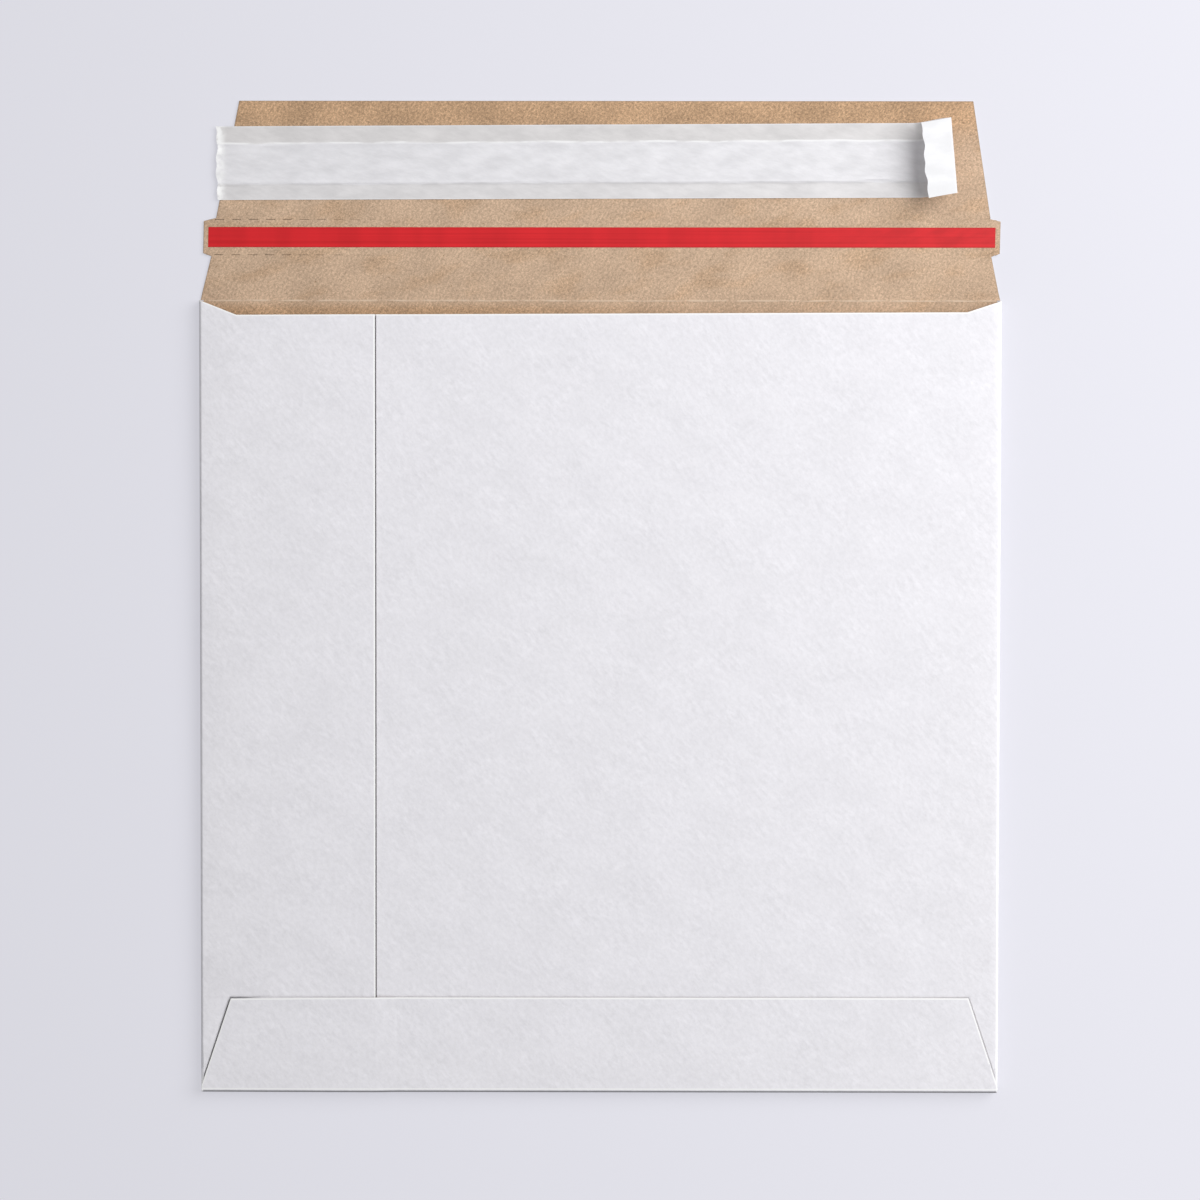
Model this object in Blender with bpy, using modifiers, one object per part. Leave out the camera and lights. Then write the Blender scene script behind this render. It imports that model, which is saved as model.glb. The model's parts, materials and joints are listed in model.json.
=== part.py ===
"""Calendar envelope: a white board mailer with a tear strip and a peel-off closing strip.

It lies on its address side with the closing flap open. X runs across it, Y from the bottom
fold towards the end of the flap, and Z up from the surface that it lies on. The origin is
on that surface, under the middle of the opened envelope.
"""
import math
from collections import namedtuple

import bmesh
import bpy
from mathutils import Vector

# Board and pocket, in metres
BOARD = 0.0006                # thickness of the solid board
POCKET_WIDTH = 0.320
POCKET_HEIGHT = 0.3175        # bottom fold to the closing flap's crease
POCKET_DEPTH = 0.0046         # clear space between the rear and the front panels
FOLD_RADIUS = 0.0006          # inner radius of every fold
LAYER_GAP = 0.0001            # glue line where two layers of the board lie on each other
TOUCH_GAP = 0.0003            # clearance between separate pieces that lie on each other

# Front panels, which overlap at the seam
LEFT_PANEL_WIDTH = 0.0695     # left side fold to the seam
SEAM_OVERLAP = 0.017          # right panel's hidden margin under the left one
MOUTH_DROP = 0.0056           # mouth edge below the flap's crease
MOUTH_CORNER = 0.0137         # width of the slanted corner at each end of the mouth

# Bottom flap, glued up over the front panels
BOTTOM_FLAP_HEIGHT = 0.0378
BOTTOM_FLAP_STRAIGHT = 0.0016  # past the bottom fold's bend, before the sides slant in
BOTTOM_FLAP_SIDE_GAP = 0.0003  # side of its root inside the pocket's outer face
BOTTOM_FLAP_SLANT = 0.0118     # how far each side leans in at the free edge
SEAM_DRAPE = 0.008             # width over which it comes down beside the seam

# Closing flap, with its tear strip
FLAP_LENGTH = 0.080
FLAP_END_INSET = 0.013        # each side of the free end inside the pocket's side
TEAR_LOW = 0.0182             # lower row of perforations, above the crease
TEAR_HIGH = 0.0323            # upper row of perforations
TAB_SLANT = 0.0012            # height of the slanted edges of the tear strip's end tabs
LOW_NOTCH_INSET = 0.0035      # notch below each end tab, inside the pocket's side
HIGH_NOTCH_INSET = 0.0053     # notch above each end tab
SLIT_LENGTH = 0.0036
SLIT_WIDTH = 0.0004
SLIT_PITCH = 0.0068
SLIT_MARGIN = 0.002           # board left between the last slit and the edge

# Strips on the closing flap
TAPE_WIDTH = 0.008
TAPE_THICKNESS = 0.0001
TAPE_END_INSET = 0.0027       # tape ends inside the tear strip's tabs
ADHESIVE_START = 0.0462       # near edge, above the crease
ADHESIVE_WIDTH = 0.0169
ADHESIVE_THICKNESS = 0.0002
ADHESIVE_LEFT_INSET = 0.0035
ADHESIVE_RIGHT_INSET = 0.018
LINER_WIDTH = 0.0293
LINER_THICKNESS = 0.0001
LINER_OVERHANG = 0.0028       # left end past the flap's slanted side
LINER_END_SKEW = 0.0002       # left end leans out by this much over the liner's width
LINER_END_WAVE = 0.00025      # height of the waves in the cut ends
LINER_LONG_WAVE = 11.0        # radians of the slow wave over the liner's width
LINER_SHORT_WAVE = 23.0       # radians of the quick one

# Finger tab: the liner's lifted right end, folded back on itself
TAB_FOLD_INSET = 0.0118       # fold line inside the flap's slanted side
TAB_LIFT_LENGTH = 0.0135      # from where the liner leaves the flap to the fold line
TAB_LIFT_HEIGHT = 0.011
TAB_LIFT_EASE = 0.4           # how much the lift straightens towards the fold line
TAB_FOLD_RADIUS = 0.0005
TAB_RETURN_LENGTH = 0.0112    # folded strip, from the fold line to its cut end
TAB_SKEW_DEG = 5.1            # lean of the fold line

# Fineness of curves and sheets
FOLD_STEPS = 4
PANEL_COLUMNS = 4
PANEL_ROWS = 5
FLAP_ROWS = 3
TAB_LIFT_STEPS = 10
TAB_FOLD_STEPS = 6
TAB_RETURN_STEPS = 3
LINER_ROWS = 10

# Places that follow from the sizes
BOTTOM_Y = -(POCKET_HEIGHT + FLAP_LENGTH) / 2
CREASE_Y = BOTTOM_Y + POCKET_HEIGHT
HALF_WIDTH = POCKET_WIDTH / 2
FOLD_MID = FOLD_RADIUS + BOARD / 2
FLAT_X = HALF_WIDTH - BOARD / 2 - FOLD_MID
FOLD_START = BOARD / 2 + FOLD_MID
LAYER = BOARD + LAYER_GAP
REAR_Z = BOARD / 2
FRONT_Z = BOARD + POCKET_DEPTH + BOARD / 2
REAR_TOP = POCKET_HEIGHT - TOUCH_GAP / 2
CORNER_X = HALF_WIDTH - MOUTH_CORNER
SEAM_X = LEFT_PANEL_WIDTH - HALF_WIDTH
LAP_X = SEAM_X - SEAM_OVERLAP
SLANT_START = FOLD_START + BOTTOM_FLAP_STRAIGHT
DRAPE_START_X = SEAM_X + TOUCH_GAP
DRAPE_END_X = DRAPE_START_X + SEAM_DRAPE

# Corners of the closing flap
LOW_NOTCH_X = HALF_WIDTH - LOW_NOTCH_INSET
HIGH_NOTCH_X = HALF_WIDTH - HIGH_NOTCH_INSET
HIGH_NOTCH_Y = TEAR_HIGH + TAB_SLANT / 2
FLAP_END_X = HALF_WIDTH - FLAP_END_INSET

# The closed flap lies on the seam, with its strips between
SEAM_TOP = FRONT_Z + LAYER + BOARD / 2
STRIP_STACK = TOUCH_GAP + ADHESIVE_THICKNESS + TOUCH_GAP + LINER_THICKNESS
CLOSED_FACE_Z = SEAM_TOP + TOUCH_GAP + STRIP_STACK
AXIS_Z = (BOARD + CLOSED_FACE_Z) / 2

Column = namedtuple("Column", "x z top is_rear")
Finish = namedtuple("Finish", "name colour roughness")

WHITE_BOARD = Finish("white_board", (0.86, 0.86, 0.87), 0.6)
KRAFT_BOARD = Finish("kraft_board", (0.55, 0.38, 0.25), 0.85)
RED_TAPE = Finish("red_tape", (0.68, 0.035, 0.04), 0.35)
CLEAR_ADHESIVE = Finish("clear_adhesive", (0.75, 0.72, 0.62), 0.3)
LINER_PAPER = Finish("liner_paper", (0.85, 0.85, 0.86), 0.45)


def clear_scene():
    """Remove every object that the file starts with."""
    for thing in list(bpy.data.objects):
        bpy.data.objects.remove(thing, do_unlink=True)


def make_material(finish):
    """A plain matt or glossy surface in the finish's colour."""
    material = bpy.data.materials.new(finish.name)
    material.use_nodes = True
    shader = material.node_tree.nodes["Principled BSDF"]
    shader.inputs["Base Color"].default_value = (*finish.colour, 1.0)
    shader.inputs["Roughness"].default_value = finish.roughness
    shader.inputs["Metallic"].default_value = 0.0
    return material


def add_object(name, data, finish, collection, location, parent=None):
    """Put mesh or curve data in the scene under a name, with its finish."""
    thing = bpy.data.objects.new(name, data)
    collection.objects.link(thing)
    data.materials.append(make_material(finish))
    thing.location = location
    thing.parent = parent
    return thing


def share_of(value, start, end):
    """How far value lies from start to end, from 0 to 1."""
    return min(1.0, max(0.0, (value - start) / (end - start)))


def fold_arc(centre_u, centre_v, start_deg, end_deg):
    """Middle of the board round one quarter fold, as points."""
    points = []
    for step in range(FOLD_STEPS + 1):
        angle = math.radians(start_deg + (end_deg - start_deg) * step / FOLD_STEPS)
        u = centre_u + FOLD_MID * math.cos(angle)
        v = centre_v + FOLD_MID * math.sin(angle)
        points.append((u, v))
    return points


def left_lift(x):
    """Rise of the left panel over the right one's level, as it slopes up to lie on it."""
    return LAYER * share_of(x, -FLAT_X, LAP_X)


def bottom_flap_lift(x):
    """Rise of the bottom flap over the left panel, coming down again beside the seam."""
    return left_lift(x) * (1.0 - share_of(x, DRAPE_START_X, DRAPE_END_X))


def mouth_edge(x):
    """Upper edge of the front panels: level, with a slanted corner at each side fold."""
    return REAR_TOP - MOUTH_DROP * share_of(abs(x), HALF_WIDTH, CORNER_X)


def pocket_columns():
    """Section across the pocket, from the seam round by the left, rear and right."""
    low_z = REAR_Z + FOLD_MID
    high_z = FRONT_Z - FOLD_MID
    columns = []
    for x in sorted([SEAM_X, LAP_X, -CORNER_X], reverse=True):
        columns.append(Column(x, FRONT_Z + left_lift(x), mouth_edge(x), False))
    for x, z in fold_arc(-FLAT_X, high_z, 90, 180):
        columns.append(Column(x, z, mouth_edge(x), False))
    for x, z in fold_arc(-FLAT_X, low_z, 180, 270)[:-1]:
        columns.append(Column(x, z, REAR_TOP, False))
    for x in sorted([-FLAT_X, LAP_X, DRAPE_START_X, DRAPE_END_X, 0.0, FLAT_X / 2, FLAT_X]):
        columns.append(Column(x, REAR_Z, REAR_TOP, True))
    for x, z in fold_arc(FLAT_X, low_z, -90, 0)[1:]:
        columns.append(Column(x, z, REAR_TOP, False))
    for x, z in fold_arc(FLAT_X, high_z, 0, 90):
        columns.append(Column(x, z, mouth_edge(x), False))
    for step in range(PANEL_COLUMNS + 1):
        x = CORNER_X + (LAP_X - CORNER_X) * step / PANEL_COLUMNS
        columns.append(Column(x, FRONT_Z, mouth_edge(x), False))
    return columns


def bottom_flap_profile(x):
    """Bottom flap at one place across it, from its free edge to the rear panel."""
    z = FRONT_Z + LAYER + bottom_flap_lift(x)
    profile = []
    for row in range(FLAP_ROWS):
        y = BOTTOM_FLAP_HEIGHT + (SLANT_START - BOTTOM_FLAP_HEIGHT) * row / FLAP_ROWS
        profile.append((y, z))
    profile.append((SLANT_START, z))
    profile += fold_arc(FOLD_START, z - FOLD_MID, 90, 180)
    profile += fold_arc(FOLD_START, REAR_Z + FOLD_MID, 180, 270)[:-1]
    return profile


def bottom_flap_side(rows_from_rear, y):
    """Side of the bottom flap, from the middle: it spreads round the fold, then slants in."""
    root = HALF_WIDTH - BOTTOM_FLAP_SIDE_GAP
    spread = min(1.0, rows_from_rear / FOLD_STEPS)
    slant = BOTTOM_FLAP_SLANT * share_of(y, SLANT_START, BOTTOM_FLAP_HEIGHT)
    return FLAT_X + (root - FLAT_X) * spread - slant


def fold_blank(blank, columns, flap_rows):
    """Cut the corners off a flat grid, and fold what is left into the pocket."""
    column_count = len(columns) - 1
    row_count = flap_rows + PANEL_ROWS
    waste = []
    for vert in blank.verts:
        column = columns[round((vert.co.x + 1) / 2 * column_count)]
        row = round((vert.co.y + 1) / 2 * row_count)
        if row >= flap_rows:
            share = (row - flap_rows) / PANEL_ROWS
            y = FOLD_START + (column.top - FOLD_START) * share
            vert.co = Vector((column.x, y, column.z))
        elif column.is_rear:
            y, z = bottom_flap_profile(column.x)[row]
            side = math.copysign(bottom_flap_side(flap_rows - row, y), column.x)
            x = side if abs(column.x) == FLAT_X else column.x
            vert.co = Vector((x, y, z))
        else:
            waste.append(vert)
    bmesh.ops.delete(blank, geom=waste, context="VERTS")


def give_thickness(thing, thickness):
    """Grow an open sheet by half its thickness to each side."""
    wall = thing.modifiers.new("board", "SOLIDIFY")
    wall.thickness = thickness
    wall.offset = 0.0
    wall.use_even_offset = True


def mesh_from(blank, name):
    """Close a working mesh into mesh data with its folds shaded round."""
    bmesh.ops.recalc_face_normals(blank, faces=blank.faces)
    mesh = bpy.data.meshes.new(name)
    blank.to_mesh(mesh)
    blank.free()
    mesh.shade_smooth()
    mesh.set_sharp_from_angle(angle=math.radians(30))
    return mesh


def build_pocket_board(collection):
    """The board sheet up to the flap's crease: panels, side folds and bottom flap in one."""
    columns = pocket_columns()
    flap_rows = len(bottom_flap_profile(0.0))
    blank = bmesh.new()
    bmesh.ops.create_grid(
        blank, x_segments=len(columns) - 1, y_segments=flap_rows + PANEL_ROWS, size=1.0
    )
    fold_blank(blank, columns, flap_rows)
    mesh = mesh_from(blank, "pocket_board")
    thing = add_object("pocket_board", mesh, WHITE_BOARD, collection, (0.0, BOTTOM_Y, 0.0))
    give_thickness(thing, BOARD)


def flap_outline():
    """Corners of the closing flap's right half, from the crease to its free end."""
    return [
        (HALF_WIDTH, TOUCH_GAP / 2),
        (LOW_NOTCH_X, TEAR_LOW - TAB_SLANT / 2),
        (HALF_WIDTH, TEAR_LOW + TAB_SLANT / 2),
        (HALF_WIDTH, TEAR_HIGH - TAB_SLANT / 2),
        (HIGH_NOTCH_X, HIGH_NOTCH_Y),
        (FLAP_END_X, FLAP_LENGTH),
    ]


def flap_side(y):
    """The closing flap's slanted side above its tear strip, as a distance from the middle."""
    share = (y - HIGH_NOTCH_Y) / (FLAP_LENGTH - HIGH_NOTCH_Y)
    return HIGH_NOTCH_X + (FLAP_END_X - HIGH_NOTCH_X) * share


def add_spline(curve, corners):
    """Add a closed straight-sided outline to a flat curve."""
    spline = curve.splines.new("POLY")
    spline.points.add(len(corners) - 1)
    for point, (x, y) in zip(spline.points, corners):
        point.co = (x, y, 0.0, 1.0)
    spline.use_cyclic_u = True


def rectangle(left, right, near, far):
    """Corners of a rectangle, anticlockwise."""
    return [(left, near), (right, near), (right, far), (left, far)]


def flat_curve(name, thickness):
    """A flat filled curve of a given thickness, half to each side of its plane."""
    curve = bpy.data.curves.new(name, "CURVE")
    curve.dimensions = "2D"
    curve.fill_mode = "BOTH"
    curve.extrude = thickness / 2
    return curve


def slit_row(y, half_width):
    """Outlines of one row of perforations, centred on the flap."""
    room = 2 * (half_width - SLIT_MARGIN)
    count = int((room + SLIT_PITCH - SLIT_LENGTH) / SLIT_PITCH)
    slits = []
    for index in range(count):
        middle = (index - (count - 1) / 2) * SLIT_PITCH
        left = middle - SLIT_LENGTH / 2
        slits.append(rectangle(left, left + SLIT_LENGTH, y - SLIT_WIDTH / 2, y + SLIT_WIDTH / 2))
    return slits


def build_closing_flap(collection, hinge):
    """The closing flap: tapered board with tear tabs and two rows of perforations."""
    right = flap_outline()
    left = [(-x, y) for x, y in reversed(right)]
    curve = flat_curve("closing_flap", BOARD)
    add_spline(curve, right + left)
    low_side = (HALF_WIDTH + LOW_NOTCH_X) / 2
    high_side = (HALF_WIDTH + HIGH_NOTCH_X) / 2
    for slit in slit_row(TEAR_LOW, low_side) + slit_row(TEAR_HIGH, high_side):
        add_spline(curve, slit)
    place = (0.0, 0.0, BOARD / 2 - AXIS_Z)
    add_object("closing_flap", curve, KRAFT_BOARD, collection, place, hinge)


def build_tear_tape(collection, hinge):
    """The tear tape along the middle of the tear strip."""
    middle = (TEAR_LOW + TEAR_HIGH) / 2
    half_length = HALF_WIDTH - TAPE_END_INSET
    curve = flat_curve("tear_tape", TAPE_THICKNESS)
    near = middle - TAPE_WIDTH / 2
    add_spline(curve, rectangle(-half_length, half_length, near, near + TAPE_WIDTH))
    place = (0.0, 0.0, BOARD + TOUCH_GAP + TAPE_THICKNESS / 2 - AXIS_Z)
    add_object("tear_tape", curve, RED_TAPE, collection, place, hinge)


def build_adhesive_strip(collection, hinge):
    """The band of adhesive that the liner covers."""
    far = ADHESIVE_START + ADHESIVE_WIDTH
    left = ADHESIVE_LEFT_INSET - flap_side(far)
    right = flap_side(far) - ADHESIVE_RIGHT_INSET
    curve = flat_curve("adhesive_strip", ADHESIVE_THICKNESS)
    add_spline(curve, rectangle(left, right, ADHESIVE_START, far))
    place = (0.0, 0.0, BOARD + TOUCH_GAP + ADHESIVE_THICKNESS / 2 - AXIS_Z)
    add_object("adhesive_strip", curve, CLEAR_ADHESIVE, collection, place, hinge)


def cut_wave(share):
    """Waves of a torn-off paper end, at a share of the liner's width."""
    return LINER_END_WAVE * (math.sin(LINER_LONG_WAVE * share) + math.cos(LINER_SHORT_WAVE * share))


def liner_profile(fold_x):
    """Side view of the liner: flat, lifted to the fold line, then back over itself."""
    start_x = fold_x - TAB_LIFT_LENGTH
    profile = []
    for step in range(TAB_LIFT_STEPS + 1):
        share = step / TAB_LIFT_STEPS
        rise = TAB_LIFT_HEIGHT * share ** 2 * (1.0 + TAB_LIFT_EASE * (1.0 - share))
        profile.append((start_x + TAB_LIFT_LENGTH * share, rise))
    top_z = TAB_LIFT_HEIGHT + TAB_FOLD_RADIUS
    for step in range(1, TAB_FOLD_STEPS + 1):
        angle = math.pi * step / TAB_FOLD_STEPS - math.pi / 2
        x = fold_x + TAB_FOLD_RADIUS * math.cos(angle)
        profile.append((x, top_z + TAB_FOLD_RADIUS * math.sin(angle)))
    for step in range(1, TAB_RETURN_STEPS + 1):
        x = fold_x - TAB_RETURN_LENGTH * step / TAB_RETURN_STEPS
        profile.append((x, top_z + TAB_FOLD_RADIUS))
    return profile


def shape_liner(sheet, profile, left_end):
    """Bend a flat grid into the liner, with its leaning fold line and wavy ends."""
    skew = math.tan(math.radians(TAB_SKEW_DEG))
    turned = math.tan(math.radians(2 * TAB_SKEW_DEG))
    fold_index = TAB_LIFT_STEPS + TAB_FOLD_STEPS // 2 + 1
    fold_x = profile[fold_index - 1][0]
    for vert in sheet.verts:
        index = round((vert.co.x + 1) / 2 * len(profile))
        share = (vert.co.y + 1) / 2
        y = (share - 0.5) * LINER_WIDTH
        if index == 0:
            x = left_end - LINER_END_SKEW * (share - 0.5) + cut_wave(share)
            z = 0.0
        else:
            x, z = profile[index - 1]
            x -= skew * y
        if index > fold_index:
            y -= turned * (fold_x - profile[index - 1][0])
        if index == len(profile):
            x += cut_wave(share)
        vert.co = Vector((x, y, z))


def build_release_liner(collection, hinge):
    """The peel-off paper over the adhesive, with its finger tab."""
    middle = ADHESIVE_START + ADHESIVE_WIDTH / 2
    left_end = -flap_side(middle) - LINER_OVERHANG
    profile = liner_profile(flap_side(middle) - TAB_FOLD_INSET)
    sheet = bmesh.new()
    bmesh.ops.create_grid(sheet, x_segments=len(profile), y_segments=LINER_ROWS, size=1.0)
    shape_liner(sheet, profile, left_end)
    mesh = mesh_from(sheet, "release_liner")
    level = BOARD + TOUCH_GAP + ADHESIVE_THICKNESS + TOUCH_GAP + LINER_THICKNESS / 2
    place = (0.0, middle, level - AXIS_Z)
    thing = add_object("release_liner", mesh, LINER_PAPER, collection, place, hinge)
    give_thickness(thing, LINER_THICKNESS)


def build():
    """Build the whole envelope, with the flap's pieces on the line it turns about."""
    clear_scene()
    collection = bpy.data.collections.new("calendar_envelope")
    bpy.context.scene.collection.children.link(collection)
    hinge = bpy.data.objects.new("flap_crease", None)
    collection.objects.link(hinge)
    hinge.location = (0.0, CREASE_Y, AXIS_Z)
    build_pocket_board(collection)
    build_closing_flap(collection, hinge)
    build_tear_tape(collection, hinge)
    build_adhesive_strip(collection, hinge)
    build_release_liner(collection, hinge)


build()
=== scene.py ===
"""Looks of a calendar envelope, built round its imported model.

The envelope lies on its address side with the closing flap open. Everything is in metres and
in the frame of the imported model: X runs across the envelope, Y from the bottom fold to the
free end of the closing flap, and Z up.
"""

import json
import logging
import math
from collections.abc import Callable, Iterable, Sequence
from dataclasses import dataclass, field
from enum import Enum
from typing import Union

import bmesh
import bpy
from mathutils import Matrix, Vector, noise
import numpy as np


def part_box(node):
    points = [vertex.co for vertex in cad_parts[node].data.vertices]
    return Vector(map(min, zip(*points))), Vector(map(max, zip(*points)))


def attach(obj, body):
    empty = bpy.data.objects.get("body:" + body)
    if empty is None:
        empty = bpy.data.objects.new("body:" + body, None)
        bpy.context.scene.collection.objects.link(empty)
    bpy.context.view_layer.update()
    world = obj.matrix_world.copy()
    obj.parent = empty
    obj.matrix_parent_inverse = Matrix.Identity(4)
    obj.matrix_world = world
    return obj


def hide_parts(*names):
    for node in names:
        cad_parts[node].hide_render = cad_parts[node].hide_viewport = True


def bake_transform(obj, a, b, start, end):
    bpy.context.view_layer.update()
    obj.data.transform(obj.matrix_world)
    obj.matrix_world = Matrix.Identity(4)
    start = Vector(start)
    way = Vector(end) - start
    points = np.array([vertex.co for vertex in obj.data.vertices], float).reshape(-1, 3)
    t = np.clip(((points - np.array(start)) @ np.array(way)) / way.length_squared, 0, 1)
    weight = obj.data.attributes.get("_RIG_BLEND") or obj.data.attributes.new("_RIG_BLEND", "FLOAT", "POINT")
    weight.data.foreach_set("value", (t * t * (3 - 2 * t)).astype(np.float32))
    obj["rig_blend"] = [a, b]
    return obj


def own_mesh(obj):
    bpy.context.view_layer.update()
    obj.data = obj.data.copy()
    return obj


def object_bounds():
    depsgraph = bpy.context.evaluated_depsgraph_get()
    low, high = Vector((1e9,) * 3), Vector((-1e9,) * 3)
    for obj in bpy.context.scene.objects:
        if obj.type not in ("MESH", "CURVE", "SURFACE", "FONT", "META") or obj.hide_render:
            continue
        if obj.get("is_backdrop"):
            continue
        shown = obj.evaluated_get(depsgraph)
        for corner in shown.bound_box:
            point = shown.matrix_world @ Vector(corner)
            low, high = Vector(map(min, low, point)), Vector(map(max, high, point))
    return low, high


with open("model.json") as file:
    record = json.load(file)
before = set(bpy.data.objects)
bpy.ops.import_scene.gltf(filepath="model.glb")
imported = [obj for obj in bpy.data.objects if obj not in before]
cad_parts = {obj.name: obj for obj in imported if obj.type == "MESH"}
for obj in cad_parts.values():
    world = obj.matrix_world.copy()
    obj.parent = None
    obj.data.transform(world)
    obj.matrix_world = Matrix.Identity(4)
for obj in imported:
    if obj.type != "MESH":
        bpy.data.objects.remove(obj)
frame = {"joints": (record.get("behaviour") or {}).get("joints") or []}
CAD_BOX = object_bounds()

FLAT_MAP = "flat"             # UV map with each point's place in the uncut, unfolded sheet
PAINTED_LIGHT_MAP = "wear"             # 1 for a painted highlight along an edge, less than 0 for a line of painted shade
EXACT = 1e-7                  # distance under which a point counts as on a line
UP = Vector((0.0, 0.0, 1.0))

LOG = logging.getLogger("calendar_envelope")

Region = Callable[[Vector], bool]
Socket = bpy.types.NodeSocket
Value = Union[float, Sequence[float], Socket]
Colour = tuple[float, float, float]


def share_of(value: float, start: float, end: float) -> float:
    """How far a value lies from start to end, held between 0 and 1."""
    return min(1.0, max(0.0, (value - start) / (end - start)))


def eased(value: float, start: float, end: float) -> float:
    """The share of value from start to end, eased at both ends."""
    share = share_of(value, start, end)
    return share * share * (3.0 - 2.0 * share)


def spaced(start: float, end: float, step: float) -> list[float]:
    """Even places between two ends, which are left out, no further apart than a step."""
    count = max(1, math.ceil(abs(end - start) / step))
    return [start + (end - start) * index / count for index in range(1, count)]


def ripple(x: float, y: float, size: float, seed: float = 0.0) -> float:
    """Soft irregular wave over a sheet, about -1 to 1, one of many by its seed."""
    return 2.0 * noise.noise(Vector((x / size, y / size, seed)))


def everywhere(_centre: Vector) -> bool:
    """Region that holds every face."""
    return True


class Face(Enum):
    """Material slots of a sheet: its two sides and the cut edge between them."""

    INSIDE = 0
    OUTSIDE = 1
    CUT = 2


class Arm(Enum):
    """Parts of the blank that fold up from the rear panel, by the way each one points."""

    LEFT = (-1.0, 0.0)
    RIGHT = (1.0, 0.0)
    BOTTOM = (0.0, -1.0)

    @property
    def outward(self) -> Vector:
        """Direction from the rear panel out along the arm."""
        return Vector((*self.value, 0.0))

    def reach(self, u: float, v: float) -> float:
        """How far out along the arm a flat place lies."""
        return u * self.value[0] + v * self.value[1]


@dataclass(frozen=True)
class Board:
    """Sizes that every fold and layer of the board shares."""

    thickness: float = 0.0006
    inner_radius: float = 0.0006
    glue_line: float = 0.0001
    clearance: float = 0.0003
    fold_steps: int = 6
    rim_radius: float = 0.00015
    rim_steps: int = 2
    rim_band: float = 0.0008

    @property
    def fold_radius(self) -> float:
        """Radius of the middle of the board in a fold."""
        return self.inner_radius + self.thickness / 2

    @property
    def layer(self) -> float:
        """Height of one layer of board glued on another."""
        return self.thickness + self.glue_line

    @property
    def chord(self) -> float:
        """Flat width of one step of a quarter fold."""
        return 2.0 * self.fold_radius * math.sin(math.pi / 4 / self.fold_steps)

    @property
    def bend(self) -> float:
        """Flat width of a quarter fold."""
        return self.fold_steps * self.chord

    @property
    def rear_level(self) -> float:
        """Middle of the rear panel and of the open flap."""
        return self.thickness / 2


@dataclass(frozen=True)
class Layout:
    """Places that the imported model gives."""

    half_width: float
    bottom_y: float
    crease_y: float
    flap_end_y: float
    joint_back: float = 0.008

    @classmethod
    def from_frame(cls) -> "Layout":
        """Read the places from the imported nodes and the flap's joint."""
        low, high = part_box("pocket_board")
        _, flap_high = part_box("closing_flap")
        crease_y = frame["joints"][0]["pos_m"][1]
        return cls(high.x, low.y, crease_y, flap_high.y)

    @property
    def joint_y(self) -> float:
        """Line inside the pocket where the flap's sheet takes over from the pocket's."""
        return self.crease_y - self.joint_back


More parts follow.
